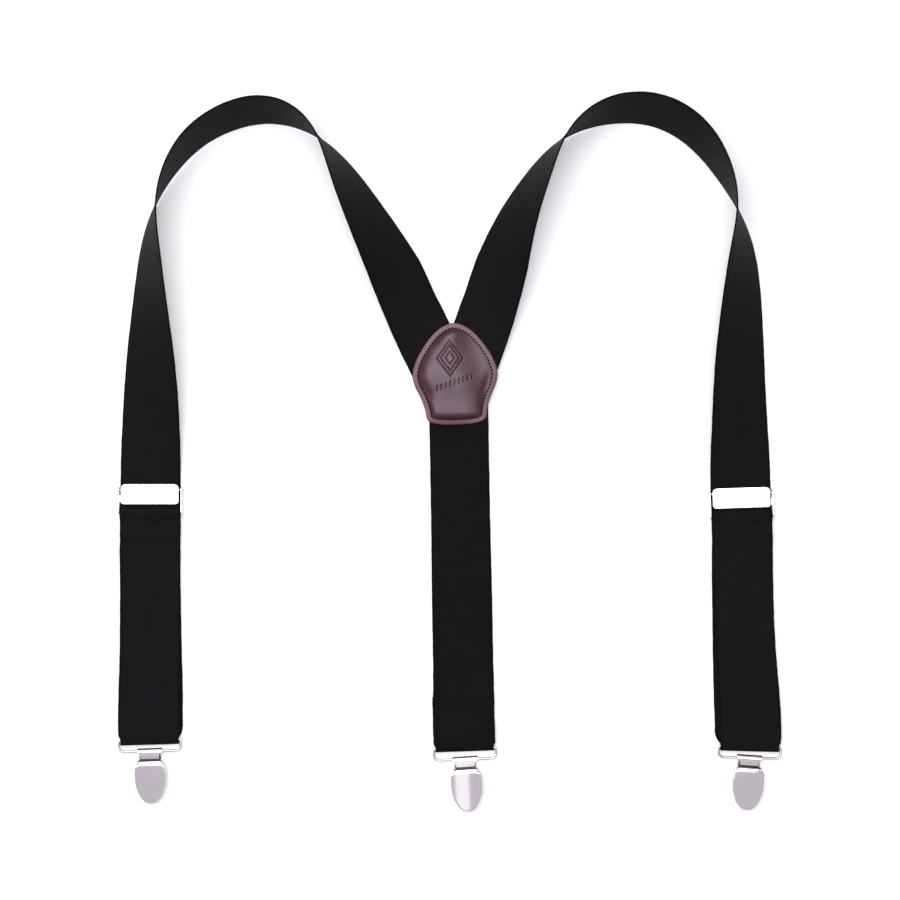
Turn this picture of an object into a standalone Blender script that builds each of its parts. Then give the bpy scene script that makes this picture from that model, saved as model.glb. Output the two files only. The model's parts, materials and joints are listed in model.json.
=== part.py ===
"""Y-back clip suspenders, lying at rest on a table, +Z up, back view on top.

Two elastic shoulder straps rise from their sliders, stand up on edge round a
loop each and meet under a leather patch, where the single back strap begins.
Every strap ends in a fold round a wire ring, and every ring carries a clip.
Sizes below are in millimetres and degrees; the helpers turn them into metres.
"""
import math

import bmesh
import bpy
from mathutils import Matrix, Vector

MM = 0.001
WELD = 1.0e-6
MERGE = 1.0e-5
GAP = 0.3                       # clearance between neighbouring pieces

# --- webbing -----------------------------------------------------------------
STRAP_WIDTH = 35.0
STRAP_HALF = STRAP_WIDTH / 2
STRAP_THICK = 1.0
STATION_STEP = 4.0              # spacing of the sections along a strap
STRAIGHT_START = 10.0           # flat length above a slider
FOLD_HALF = 16.8                # the strap is nipped in a little at its fold
FOLD_LENGTH = 12.0              # length of a separate fold piece above its bar
FOLD_REACH = 22.0               # above this the two layers lie flat together
REAR_LEVEL = 0.5                # middle of a layer that lies on the table
FRONT_LEVEL = 1.8               # middle of a layer that lies on another one
BAR_LEVEL = 1.85                # middle of every wire bar
FOLD_RADIUS = 1.35              # middle of the webbing round a bar
BACK_FLAP = 30.0                # sewn-back end of the back strap

# --- wire rings --------------------------------------------------------------
WIRE_RADIUS = 0.7
RING_HALF = 17.9                # centre of a side wire
RING_DROP = 6.4                 # from the strap's bar to the clip's bar
RING_TOP_CORNER = 1.0
RING_LOW_CORNER = 3.6

# --- slider (adjuster) -------------------------------------------------------
WALL_IN, WALL_OUT = 17.8, 18.5
WALL_TOP, WALL_LOW = 3.8, -11.9
WALL_Z = (0.2, 4.6)
CROSSBAR_Y = -10.3
ANVIL_Y = (-5.0, -1.0)
ANVIL_Z = (0.0, 0.7)
ROD_Y, ROD_Z, ROD_RADIUS = 2.2, 3.6, 0.45
ROD_HOLE, FLANGE_HOLE = 0.6, 0.6
COVER_HALF_X = 16.85
COVER_Y = (-6.2, 5.5)
COVER_Z = (4.3, 5.1)
COVER_CORNER = 2.2
COVER_SKIN = 0.5                # how far flanges and teeth reach into the cover
FLANGE_X = (15.8, 16.5)
FLANGE_Y, FLANGE_LOW = (0.4, 4.0), 2.7
TEETH_HALF_X = 15.5
TEETH_Y, TEETH_LOW = (-2.2, -1.5), 2.15
ROD_OVERHANG, BAR_INSET, ANVIL_INSET = 0.4, 0.2, 0.3
PASS_TOP, PASS_LOW = 6.0, -29.3  # webbing that stays in the slider
TAIL_LOOP_LOW = -24.0

# --- clip --------------------------------------------------------------------
SHEET = 0.8
ROLL_RADIUS = 1.45              # middle of the sheet rolled round the ring
ROLL_HALF = 6.2
PLATE_HALF = 7.0
TAB_END = -4.2                  # free end of the rolled sheet
WAIST_Y = (-9.0, -10.2)         # where the base widens to its plate
BASE_END = -27.45
LIP_TOP = 1.5
PIN_Y, PIN_Z, PIN_RADIUS = -6.6, 4.0, 0.7
PIN_HOLE = 0.85
EAR_IN, EAR_OUT, EAR_RADIUS = 5.2, 6.0, 1.5
EAR_FOOT, EAR_LOW = 1.9, 0.3    # half length of an ear's foot and its level
PIN_HEAD_RADIUS, PIN_OVERHANG = 1.1, 0.9
JAW_PIVOT_Y, JAW_Z, JAW_THICK = -3.0, 1.85, 0.7
JAW_END, JAW_TIP = -26.2, 1.0
JAW_NECK, JAW_HALF, JAW_FRONT = 4.8, 6.0, 4.6
GRIP_Y = (-25.6, -13.0)
GRIP_Z = (0.95, 1.3)
GRIP_HALF, GRIP_CORNER = 5.0, 1.0
LEVER_HALF_HUB = 4.9
HUB_RADIUS, CAM_LIFT = 1.15, 0.5
PAN_Z = (3.4, 5.3)
PAN_SKIN = 0.8
PADDLE_HALF = ((8.3, -8.7, 2.0), (9.0, -17.0, 60.0), (8.6, -22.2, 16.0), (3.5, -30.0, 5.0))
PADDLE_MIDDLE = -18.5
HOLLOW_SCALE = (0.88, 0.9)
NECK_LOW, NECK_END = 4.3, -10.6

# --- patch -------------------------------------------------------------------
PATCH_CENTRE = (2.9, 44.7)
PATCH_YAW = 2.0
LEATHER = 1.0
PATCH_RIM_LEVEL = 4.3           # middle of the front leather at its rim
PATCH_CROWN = 1.5               # how far its middle stands above the rim
PATCH_HALF = ((0.0, 31.2, 14.0), (13.0, 22.6, 40.0), (25.4, -0.4, 9.0),
              (19.0, -17.5, 40.0), (17.9, -29.2, 4.0), (0.0, -30.1, 60.0))
PATCH_RIMS = (1.0, 0.96, 0.9, 0.78, 0.6, 0.3)
CROWN_POWER = 6
STITCH_SCALE = 0.89
THREAD_RADIUS = 0.25

# --- layout ------------------------------------------------------------------
SHIFT = (0.0, 2.3)              # puts the middle of the whole at the origin
SLIDERS = {"left": ((-173.6, -25.2), 0.0), "right": ((168.6, -27.3), 1.84)}
BARS = {"left": ((-174.0, -168.05), 1.6), "right": ((173.6, -171.85), -1.6),
        "back": ((8.5, -172.75), 2.0)}
CLIP_YAW = {"left": 0.4, "right": -2.2, "back": 1.5}

# A shoulder strap's route after its slider: middle x, y, the turn about its
# own line, and how far its lower edge is lifted off the table.
LEFT_ROUTE = (
    (-172.9, 11.9, 12, 0), (-172.6, 46.7, 28, 0), (-172.6, 83.8, 50, 0),
    (-172.1, 118.6, 66, 0.5), (-169.5, 142.4, 84, 2), (-156.2, 169, 100.2, 3),
    (-140.1, 185.5, 106.6, 1.5), (-109.5, 197.5, 111.5, 0), (-95, 194.9, 108, 0.5),
    (-86.6, 190.6, 102, 1.5), (-76.5, 182.5, 92, 3), (-62.8, 161.4, 69, 3),
    (-48.7, 135.5, 50, 1.5), (-31.4, 103.2, 28.5, 0.3), (-19.2, 77.6, 8, 0.9),
    (-11.1, 59.5, 0, 1.2), (-5.1, 48.2, 0, 1.2))
RIGHT_ROUTE = (
    (167.4, 11.9, 17.8, 0), (166.9, 46.7, 27.8, 0), (167.9, 83.8, 43, 0),
    (168.2, 104.7, 52.3, 0.5), (167.6, 125.6, 67.7, 1), (164.5, 143.6, 90, 2.5),
    (154.5, 164.9, 102.9, 1.5), (146.2, 178.5, 110, 0.8), (127.6, 193.5, 114.3, 0),
    (107.5, 197.9, 113.6, 0), (89.2, 195.5, 111, 0.5), (78.2, 190.5, 101.4, 1.5),
    (64.2, 179, 89, 3), (54.2, 163, 74, 3), (45.5, 147.9, 61, 2.2),
    (36.6, 129.3, 47.6, 1.5), (29.9, 106.7, 31, 1.4), (24.8, 90.2, 18, 2.0),
    (20, 75.8, 5, 2.4), (17.5, 67.8, 0, 2.4), (15.1, 60.6, 0, 2.4), (10, 47.7, 0, 2.4))
# The back strap from its end under the patch to the table: y and middle z.
BACK_TOP = ((47.0, 4.1), (43.0, 4.1), (38.0, 4.0), (30.0, 2.9), (23.0, 2.05),
            (17.0, 1.95), (10.0, 1.2), (3.0, 0.5), (-6.0, 0.5))
BACK_TOP_X = 4.6
# Webbing in a slider, y and middle z: under the cover, over the doubled end.
PASS_ROUTE = ((PASS_TOP, 0.5), (3.5, 0.55), (-1.0, 1.45), (-4.6, 1.5), (-8.0, 3.7),
              (-10.3, 4.55), (-12.8, 4.35), (-15.0, 3.6), (-17.5, 3.15),
              (-23.0, 3.12), (-26.0, 2.6), (PASS_LOW, 1.8))
FLAP_ROUTE = ((-10.3, 3.2), (-12.5, 2.9), (-15.0, 1.95), (-17.0, 1.8), (-24.0, 1.8))

COLOURS = {
    "webbing": ((0.012, 0.012, 0.014, 1), 0.85, 0.0),
    "leather": ((0.075, 0.028, 0.034, 1), 0.45, 0.0),
    "thread": ((0.03, 0.012, 0.016, 1), 0.7, 0.0),
    "nickel": ((0.62, 0.61, 0.62, 1), 0.2, 1.0),
    "rubber": ((0.02, 0.02, 0.02, 1), 0.7, 0.0),
}


# --- scene helpers -----------------------------------------------------------
def clear_scene():
    for item in list(bpy.data.objects):
        bpy.data.objects.remove(item)


def new_collection(name):
    collection = bpy.data.collections.new(name)
    bpy.context.scene.collection.children.link(collection)
    return collection


def new_material(kind, name):
    colour, roughness, metallic = COLOURS[kind]
    material = bpy.data.materials.new(f"{name}_{kind}")
    material.use_nodes = True
    shader = material.node_tree.nodes["Principled BSDF"]
    shader.inputs["Base Color"].default_value = colour
    shader.inputs["Roughness"].default_value = roughness
    shader.inputs["Metallic"].default_value = metallic
    material.diffuse_color = colour
    return material


def new_empty(name, location, yaw, parent):
    empty = bpy.data.objects.new(name, None)
    PARTS.objects.link(empty)
    empty.location = Vector(location) * MM
    empty.rotation_euler = (0, 0, math.radians(yaw))
    empty.parent = parent
    return empty


def new_object(name, mesh, parent):
    item = bpy.data.objects.new(name, mesh)
    PARTS.objects.link(item)
    item.parent = parent
    return item


def finish(item, kind, pivot=(0.0, 0.0, 0.0)):
    """Moves the origin to the joint's axis, shades it and gives it a material."""
    offset = Vector(pivot) * MM
    item.data.transform(Matrix.Translation(-offset))
    item.location = offset
    item.data.shade_smooth()
    item.data.set_sharp_from_angle(angle=math.radians(35))
    item.data.materials.clear()
    item.data.materials.append(new_material(kind, item.name))
    return item


def boolean(item, tool, operation):
    """Joins or cuts with a tool, which moves to the cutters' collection."""
    PARTS.objects.unlink(tool)
    CUTTERS.objects.link(tool)
    tool.hide_render = True
    tool.display_type = "WIRE"
    modifier = item.modifiers.new(f"{operation.lower()}_{tool.name}", "BOOLEAN")
    modifier.operation = operation
    modifier.solver = "EXACT"
    modifier.object = tool


# --- shape helpers -----------------------------------------------------------
def arc(centre, radius, start, end, steps):
    """Points of an arc in a plane, from start to end degrees."""
    angles = [math.radians(start + (end - start) * i / steps) for i in range(steps + 1)]
    return [(centre[0] + radius * math.cos(a), centre[1] + radius * math.sin(a))
            for a in angles]


def rounded_outline(corners, steps=3):
    """A closed outline through (x, y, radius) corners with arcs at each."""
    points = []
    count = len(corners)
    for index, (x, y, radius) in enumerate(corners):
        here = Vector((x, y))
        to_last = Vector(corners[index - 1][:2]) - here
        to_next = Vector(corners[(index + 1) % count][:2]) - here
        half_turn = to_last.angle(to_next) / 2
        reach = min(radius / math.tan(half_turn), 0.48 * to_last.length,
                    0.48 * to_next.length)
        first = here + to_last.normalized() * reach
        last = here + to_next.normalized() * reach
        for i in range(steps + 1):
            t = i / steps
            points.append(tuple((1 - t) ** 2 * first + 2 * t * (1 - t) * here + t * t * last))
    return points


def catmull_rom(keys, step):
    """Even stations along a smooth line through keys, measured on x and y."""
    padded = [keys[0]] + list(keys) + [keys[-1]]
    dense = []
    for p0, p1, p2, p3 in zip(padded, padded[1:], padded[2:], padded[3:]):
        for i in range(24):
            t = i / 24
            dense.append(tuple(
                0.5 * (2 * b + (c - a) * t + (2 * a - 5 * b + 4 * c - d) * t ** 2
                       + (3 * b - a - 3 * c + d) * t ** 3)
                for a, b, c, d in zip(p0, p1, p2, p3)))
    dense.append(tuple(keys[-1]))
    lengths = [0.0]
    for a, b in zip(dense, dense[1:]):
        lengths.append(lengths[-1] + math.dist(a[:2], b[:2]))
    count = max(2, round(lengths[-1] / step))
    stations, k = [], 0
    for i in range(count + 1):
        want = lengths[-1] * i / count
        while k < len(dense) - 2 and lengths[k + 1] < want:
            k += 1
        span = lengths[k + 1] - lengths[k]
        t = (want - lengths[k]) / span if span else 0.0
        stations.append(tuple(a + (b - a) * t for a, b in zip(dense[k], dense[k + 1])))
    return stations


def sheet(name, stations, thickness, parent, even=False):
    """A sheet of one thickness through (centre, side direction, half width)."""
    work = bmesh.new()
    rows = [[work.verts.new((Vector(centre) + Vector(side) * half * hand) * MM)
             for hand in (-1, 1)] for centre, side, half in stations]
    for row, following in zip(rows, rows[1:]):
        work.faces.new((row[0], row[1], following[1], following[0]))
    mesh = bpy.data.meshes.new(name)
    work.to_mesh(mesh)
    work.free()
    item = new_object(name, mesh, parent)
    solidify = item.modifiers.new("thickness", "SOLIDIFY")
    solidify.thickness = thickness * MM
    solidify.offset = 0.0
    solidify.use_even_offset = even
    return item


def section_sheet(name, points, thickness, parent, even=False):
    """A sheet whose line is (y, z, half width) and which is straight along x."""
    stations = [((0.0, y, z), (1.0, 0.0, 0.0), half) for y, z, half in points]
    return sheet(name, stations, thickness, parent, even)


def to_mesh(curve_object):
    """Swaps a curve object for a closed mesh object of the same shape."""
    name, parent = curve_object.name, curve_object.parent
    evaluated = curve_object.evaluated_get(bpy.context.evaluated_depsgraph_get())
    mesh = bpy.data.meshes.new_from_object(evaluated)
    work = bmesh.new()
    work.from_mesh(mesh)
    bmesh.ops.remove_doubles(work, verts=work.verts, dist=WELD)
    bmesh.ops.recalc_face_normals(work, faces=work.faces)
    work.to_mesh(mesh)
    work.free()
    bpy.data.objects.remove(curve_object)
    return new_object(name, mesh, parent)


def new_curve(name, points, parent, cyclic, dimensions):
    curve = bpy.data.curves.new(name, "CURVE")
    curve.dimensions = dimensions
    spline = curve.splines.new("POLY")
    spline.points.add(len(points) - 1)
    for point, place in zip(spline.points, points):
        point.co = (*(Vector(place).to_3d() * MM), 1.0)
    spline.use_cyclic_u = cyclic
    item = bpy.data.objects.new(name, curve)
    PARTS.objects.link(item)
    item.parent = parent
    return item


def plate(name, outline, levels, parent, normal="Z"):
    """A flat plate between two levels along its normal, Z or X.

    With normal X the outline's coordinates are y and z.
    """
    flat = new_curve(name, outline, parent, True, "2D")
    flat.data.fill_mode = "BOTH"
    flat.data.extrude = (levels[1] - levels[0]) / 2 * MM
    item = to_mesh(flat)
    item.data.transform(Matrix.Translation((0, 0, sum(levels) / 2 * MM)))
    if normal == "X":
        item.data.transform(Matrix(((0, 0, 1, 0), (1, 0, 0, 0), (0, 1, 0, 0), (0, 0, 0, 1))))
    return item


def box_outline(low, high):
    return [(low[0], low[1]), (high[0], low[1]), (high[0], high[1]), (low[0], high[1])]


def round_bar(name, half_length, radius, y, z, parent, segments=12):
    """A cylinder along x through (y, z)."""
    work = bmesh.new()
    bmesh.ops.create_cone(work, cap_ends=True, segments=segments, radius1=radius * MM,
                          radius2=radius * MM, depth=2 * half_length * MM,
                          matrix=Matrix.Rotation(math.pi / 2, 4, "Y"))
    mesh = bpy.data.meshes.new(name)
    work.to_mesh(mesh)
    work.free()
    mesh.transform(Matrix.Translation(Vector((0, y, z)) * MM))
    return new_object(name, mesh, parent)


def turned_along_x(name, profile, y, z, parent):
    """A turned piece about x from (radius, distance) points, top to bottom."""
    mesh = bpy.data.meshes.new(name)
    points = [(radius * MM, 0, along * MM) for radius, along in profile]
    edges = [(i, i + 1) for i in range(len(points) - 1)]
    mesh.from_pydata(points, edges, [])
    item = new_object(name, mesh, parent)
    screw = item.modifiers.new("turn", "SCREW")
    screw.steps = screw.render_steps = 12
    screw.use_merge_vertices = True
    screw.merge_threshold = MERGE
    item.rotation_euler = (0, math.pi / 2, 0)
    item.location = Vector((0, y, z)) * MM
    item.data.materials.append(new_material("nickel", name))
    return item


def smooth_step(t):
    t = min(1.0, max(0.0, t))
    return t * t * (3 - 2 * t)


# --- webbing -----------------------------------------------------------------
def frame_point(place, yaw, y):
    """A point on the middle line of a frame with this place and yaw."""
    turn = math.radians(yaw)
    return Vector((place[0] - y * math.sin(turn), place[1] + y * math.cos(turn), 0))


def fold_front_level(y):
    """Height of the front layer above a bar, which rises over the bar."""
    return FRONT_LEVEL + (BAR_LEVEL + FOLD_RADIUS - FRONT_LEVEL) * smooth_step(
        (FOLD_REACH - y) / (FOLD_REACH - 2.0))


def fold_half_width(y):
    return FOLD_HALF + (STRAP_HALF - FOLD_HALF) * smooth_step((y - 4.0) / 7.0)


def shoulder_strap(side, route, hand):
    """A strap from its slider round its loop to the patch.

    hand is 1 where the loop lies on the right of the strap's heading.
    """
    place, yaw = SLIDERS[side]
    straight = [(*frame_point(place, yaw, PASS_TOP + GAP + reach)[:2], 0, 0)
                for reach in (0.0, STRAIGHT_START / 2, STRAIGHT_START)]
    line = catmull_rom((*straight, *route), STATION_STEP)
    stations = []
    for i, (cx, cy, tilt, lift) in enumerate(line):
        before, after = line[max(0, i - 1)], line[min(len(line) - 1, i + 1)]
        heading = Vector((after[0] - before[0], after[1] - before[1])).normalized()
        inward = Vector((heading.y, -heading.x, 0.0)) * hand
        lean = math.radians(max(0.0, tilt))
        across = inward * math.cos(lean) + Vector((0, 0, math.sin(lean)))
        level = (STRAP_HALF * abs(math.sin(lean))
                 + STRAP_THICK / 2 * abs(math.cos(lean)) + lift)
        stations.append(((cx, cy, level), across * hand, STRAP_HALF))
    finish(sheet(f"{side}_strap", stations, STRAP_THICK, ROOT), "webbing")


def back_strap():
    """The back strap, folded round its ring with the end sewn back behind."""
    (bar_x, bar_y), yaw = BARS["back"]
    turn = math.radians(yaw)
    down = Vector((math.sin(turn), -math.cos(turn), 0))
    bar = Vector((bar_x, bar_y, 0))
    side = Vector((math.cos(turn), math.sin(turn), 0))
    top_side = Vector((bar_y - BACK_TOP[0][0], BACK_TOP_X - bar_x, 0)).normalized()
    if top_side.x < 0:
        top_side.negate()
    stations = []
    slope = (bar_x - BACK_TOP_X) / (bar_y - BACK_TOP[0][0])
    for y, z in catmull_rom(BACK_TOP, STATION_STEP):
        stations.append(((BACK_TOP_X + slope * (y - BACK_TOP[0][0]), y, z),
                         top_side, STRAP_HALF))
    reach = BACK_TOP[-1][0] - bar_y
    steps = round((reach - BACK_FLAP - 12) / 12)
    lines = [reach - (reach - BACK_FLAP - 12) * i / steps for i in range(1, steps + 1)]
    lines += [BACK_FLAP + 12 - 3 * i for i in range(1, 5)]
    lines += [BACK_FLAP - 2.5 * i for i in range(1, 13)]
    for y in lines:
        rise = smooth_step((BACK_FLAP + 12 - y) / 10)
        level = REAR_LEVEL + (fold_front_level(y) - REAR_LEVEL) * rise
        straight = Vector((BACK_TOP_X + slope * (bar_y + y - BACK_TOP[0][0]), bar_y + y, 0))
        turned = bar - down * y
        near = smooth_step((40 - y) / 30)
        place = straight.lerp(turned, near)
        stations.append(((place.x, place.y, level), top_side.lerp(side, near).normalized(),
                         fold_half_width(y)))
    for y, z in arc((0, BAR_LEVEL), FOLD_RADIUS, 90, 270, 10)[1:]:
        place = bar - down * y
        stations.append(((place.x, place.y, z), side, FOLD_HALF))
    for i in range(1, 11):
        y = BACK_FLAP * i / 10
        place = bar - down * y
        stations.append(((place.x, place.y, REAR_LEVEL), side, fold_half_width(y)))
    finish(sheet("back_strap", stations, STRAP_THICK, ROOT, even=True), "webbing")


def strap_pass(side, slider):
    """The stretch of webbing inside a slider, under the cover's teeth."""
    points = [(y, z, STRAP_HALF) for y, z in catmull_rom(PASS_ROUTE, 1.2)]
    finish(section_sheet(f"{side}_strap_pass", points, STRAP_THICK, slider), "webbing")


def tail_loop(side, slider):
    """The strap's sewn end, which turns round the slider's crossbar."""
    points = [(TAIL_LOOP_LOW, REAR_LEVEL), (-17.0, REAR_LEVEL)]
    points += arc((CROSSBAR_Y, BAR_LEVEL), FOLD_RADIUS, -90, 90, 10)
    points += catmull_rom(FLAP_ROUTE, 1.2)[1:]
    shaped = [(y, z, STRAP_HALF) for y, z in points]
    finish(section_sheet(f"{side}_tail_loop", shaped, STRAP_THICK, slider, even=True),
           "webbing")


def strap_fold(side, bar):
    """The bottom of a front strap, folded round the ring's upper bar."""
    steps = 6
    front = [(FOLD_LENGTH * (1 - i / steps)) for i in range(steps)]
    points = [(y, fold_front_level(y), fold_half_width(y)) for y in front]
    points += [(y, z, FOLD_HALF) for y, z in arc((0, BAR_LEVEL), FOLD_RADIUS, 90, 270, 10)]
    points += [(y, REAR_LEVEL, fold_half_width(y)) for y in reversed(front)]
    finish(section_sheet(f"{side}_strap_fold", points, STRAP_THICK, bar, even=True),
           "webbing")


def between_slider_and_fold(name, slider_y, level_at):
    """A stretch from the slider down to the fold, turning from one to the other."""
    side = name.split("_")[0]
    (slider, slider_yaw), (bar, bar_yaw) = SLIDERS[side], BARS[side]
    start = frame_point(slider, slider_yaw, slider_y - GAP)
    stop = frame_point(bar, bar_yaw, FOLD_LENGTH + GAP)
    length = (start - stop).length
    stations = []
    steps = 12
    for i in range(steps + 1):
        t = 1 - (1 - i / steps) ** 2 if level_at else i / steps
        turn = math.radians(slider_yaw + (bar_yaw - slider_yaw) * smooth_step(t))
        place = start.lerp(stop, t)
        y = FOLD_LENGTH + GAP + length * (1 - t)
        level = level_at(y) if level_at else REAR_LEVEL
        stations.append(((place.x, place.y, level),
                         (math.cos(turn), math.sin(turn), 0), fold_half_width(y)))
    finish(sheet(name, stations, STRAP_THICK, ROOT), "webbing")


# --- slider ------------------------------------------------------------------
def slider_parts(side, slider):
    """Frame, rod and tipping cover of one slider; y runs up the strap."""
    corners = [(y, z, 0.8) for y, z in box_outline((WALL_LOW, WALL_Z[0]), (WALL_TOP, WALL_Z[1]))]
    wall_outline = rounded_outline(corners, 3)
    frame = plate(f"{side}_adjuster_frame", wall_outline, (WALL_IN, WALL_OUT), slider, "X")
    others = [plate(f"{side}_wall", wall_outline, (-WALL_OUT, -WALL_IN), slider, "X"),
              round_bar(f"{side}_crossbar", WALL_OUT - BAR_INSET, WIRE_RADIUS, CROSSBAR_Y,
                        BAR_LEVEL, slider),
              plate(f"{side}_anvil", box_outline((-WALL_OUT + ANVIL_INSET, ANVIL_Y[0]),
                                                 (WALL_OUT - ANVIL_INSET, ANVIL_Y[1])),
                    ANVIL_Z, slider)]
    for other in reversed(others):
        boolean(frame, other, "UNION")
    boolean(frame, round_bar(f"{side}_rod_bore", WALL_OUT + 2, ROD_HOLE, ROD_Y, ROD_Z, slider),
            "DIFFERENCE")
    finish(frame, "nickel")

    rod = round_bar(f"{side}_adjuster_rod", WALL_OUT + ROD_OVERHANG, ROD_RADIUS, ROD_Y, ROD_Z, slider)
    finish(rod, "nickel", (0, ROD_Y, ROD_Z))

    cover_corners = [(x, y, COVER_CORNER) for x, y in box_outline(
        (-COVER_HALF_X, COVER_Y[0]), (COVER_HALF_X, COVER_Y[1]))]
    cover = plate(f"{side}_adjuster_lever", rounded_outline(cover_corners), COVER_Z, slider)
    inner = COVER_Z[0] + COVER_SKIN
    flange = [(y, z, 0.5) for y, z in box_outline((FLANGE_Y[0], FLANGE_LOW),
                                                  (FLANGE_Y[1], inner))]
    for hand, levels in (("near", (-FLANGE_X[1], -FLANGE_X[0])), ("far", FLANGE_X)):
        boolean(cover, plate(f"{side}_{hand}_flange", rounded_outline(flange, 3), levels,
                             slider, "X"), "UNION")
    boolean(cover, plate(f"{side}_teeth", box_outline((-TEETH_HALF_X, TEETH_Y[0]),
                                                      (TEETH_HALF_X, TEETH_Y[1])),
                         (TEETH_LOW, inner - 0.1), slider), "UNION")
    boolean(cover, round_bar(f"{side}_flange_bore", WALL_OUT, FLANGE_HOLE, ROD_Y, ROD_Z, slider),
            "DIFFERENCE")
    finish(cover, "nickel", (0, ROD_Y, ROD_Z))


# --- ring and clip -----------------------------------------------------------
def ring(side, bar):
    """A closed wire rectangle that hangs from the strap's fold."""
    low = -RING_DROP
    corners = [(-RING_HALF, 0, RING_TOP_CORNER), (RING_HALF, 0, RING_TOP_CORNER),
               (RING_HALF, low, RING_LOW_CORNER), (-RING_HALF, low, RING_LOW_CORNER)]
    wire = new_curve(f"{side}_ring", [(x, y, BAR_LEVEL) for x, y in rounded_outline(corners, 4)],
                     bar, True, "3D")
    wire.data.bevel_depth = WIRE_RADIUS * MM
    wire.data.bevel_resolution = 2
    finish(to_mesh(wire), "nickel", (0, 0, BAR_LEVEL))


def clip_base(side, clip):
    """Rolled round the ring's bar, with two ears for the pin and a front lip."""
    top = BAR_LEVEL + ROLL_RADIUS
    low = BAR_LEVEL - ROLL_RADIUS
    points = [(TAB_END, top, ROLL_HALF)]
    points += [(y, z, ROLL_HALF) for y, z in arc((0, BAR_LEVEL), ROLL_RADIUS, 90, -90, 10)]
    points += [(WAIST_Y[0], low, ROLL_HALF), (WAIST_Y[1], low, PLATE_HALF),
               (BASE_END + 3.1, low, PLATE_HALF), (BASE_END + 1.2, low, PLATE_HALF - 0.8),
               (BASE_END + 0.5, low, PLATE_HALF - 1.6),
               (BASE_END, low + 0.5, PLATE_HALF - 2.0),
               (BASE_END, LIP_TOP, PLATE_HALF - 2.0)]
    base = section_sheet(f"{side}_clip_base", points, SHEET, clip, even=True)
    ear = ([(PIN_Y + EAR_FOOT, EAR_LOW)] + arc((PIN_Y, PIN_Z), EAR_RADIUS, 0, 180, 8)
           + [(PIN_Y - EAR_FOOT, EAR_LOW)])
    for hand, levels in (("near", (-EAR_OUT, -EAR_IN)), ("far", (EAR_IN, EAR_OUT))):
        boolean(base, plate(f"{side}_{hand}_ear", ear, levels, clip, "X"), "UNION")
    boolean(base, round_bar(f"{side}_ear_bore", EAR_OUT + 2, PIN_HOLE, PIN_Y, PIN_Z, clip),
            "DIFFERENCE")
    finish(base, "nickel", (0, 0, BAR_LEVEL))


def clip_pin(side, clip):
    head, shoulder, end = PIN_HEAD_RADIUS, EAR_OUT + GAP, EAR_OUT + PIN_OVERHANG
    profile = [(0, end), (head, end), (head, shoulder), (PIN_RADIUS, shoulder),
               (PIN_RADIUS, -shoulder), (head, -shoulder), (head, -end), (0, -end)]
    turned_along_x(f"{side}_clip_pin", profile, PIN_Y, PIN_Z, clip)


def clip_grip(side, clip):
    """Soft pad on the base, under the jaw."""
    corners = [(x, y, GRIP_CORNER) for x, y in box_outline((-GRIP_HALF, GRIP_Y[0]),
                                                           (GRIP_HALF, GRIP_Y[1]))]
    finish(plate(f"{side}_clip_grip", rounded_outline(corners, 3), GRIP_Z, clip), "rubber")


def clip_jaw(side, clip):
    """Spring tongue that the lever presses down, with a toothed front edge."""
    points = [(JAW_PIVOT_Y, JAW_Z, JAW_NECK), (-9.5, JAW_Z, JAW_NECK),
              (-10.5, JAW_Z, JAW_HALF), (-24.0, JAW_Z, JAW_HALF),
              (JAW_END, JAW_Z, JAW_FRONT), (JAW_END, JAW_TIP, JAW_FRONT)]
    jaw = section_sheet(f"{side}_clip_jaw", points, JAW_THICK, clip, even=True)
    finish(jaw, "nickel", (0, JAW_PIVOT_Y, JAW_Z))


def clip_lever(side, clip):
    """The paddle: a dished tongue with a cam on its hub."""
    corners = [(-x, y, radius) for x, y, radius in PADDLE_HALF] + list(reversed(PADDLE_HALF))
    tongue = rounded_outline(corners)
    lever = plate(f"{side}_clip_lever", tongue, PAN_Z, clip)
    inside = [(x * HOLLOW_SCALE[0], PADDLE_MIDDLE + (y - PADDLE_MIDDLE) * HOLLOW_SCALE[1])
              for x, y in tongue]
    boolean(lever, plate(f"{side}_pan_hollow", inside, (PAN_Z[0] - 1, PAN_Z[1] - PAN_SKIN), clip),
            "DIFFERENCE")
    boolean(lever, plate(f"{side}_lever_neck", box_outline(
        (-LEVER_HALF_HUB + 0.1, NECK_END), (LEVER_HALF_HUB - 0.1, PIN_Y)),
        (NECK_LOW, PAN_Z[1] - 0.1), clip), "UNION")
    hub = []
    for i in range(24):
        angle = math.radians(15 * i)
        radius = HUB_RADIUS + CAM_LIFT * max(0.0, -math.sin(angle)) ** 6
        hub.append((PIN_Y + radius * math.cos(angle), PIN_Z + radius * math.sin(angle)))
    boolean(lever, plate(f"{side}_lever_hub", hub, (-LEVER_HALF_HUB, LEVER_HALF_HUB), clip, "X"),
            "UNION")
    boolean(lever, round_bar(f"{side}_hub_bore", 8, PIN_HOLE, PIN_Y, PIN_Z, clip), "DIFFERENCE")
    finish(lever, "nickel", (0, PIN_Y, PIN_Z))


# --- patch -------------------------------------------------------------------
def patch_outline(scale=1.0):
    """The patch's own outline: pointed top, wide shoulders, narrow foot."""
    right = list(PATCH_HALF)
    left = [(-x, y, radius) for x, y, radius in reversed(PATCH_HALF[1:-1])]
    turn = Matrix.Rotation(math.radians(PATCH_YAW), 2)
    centre = Vector(PATCH_CENTRE)
    return [tuple(centre + turn @ (Vector(point) * scale))
            for point in rounded_outline(right + left)]


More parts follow.
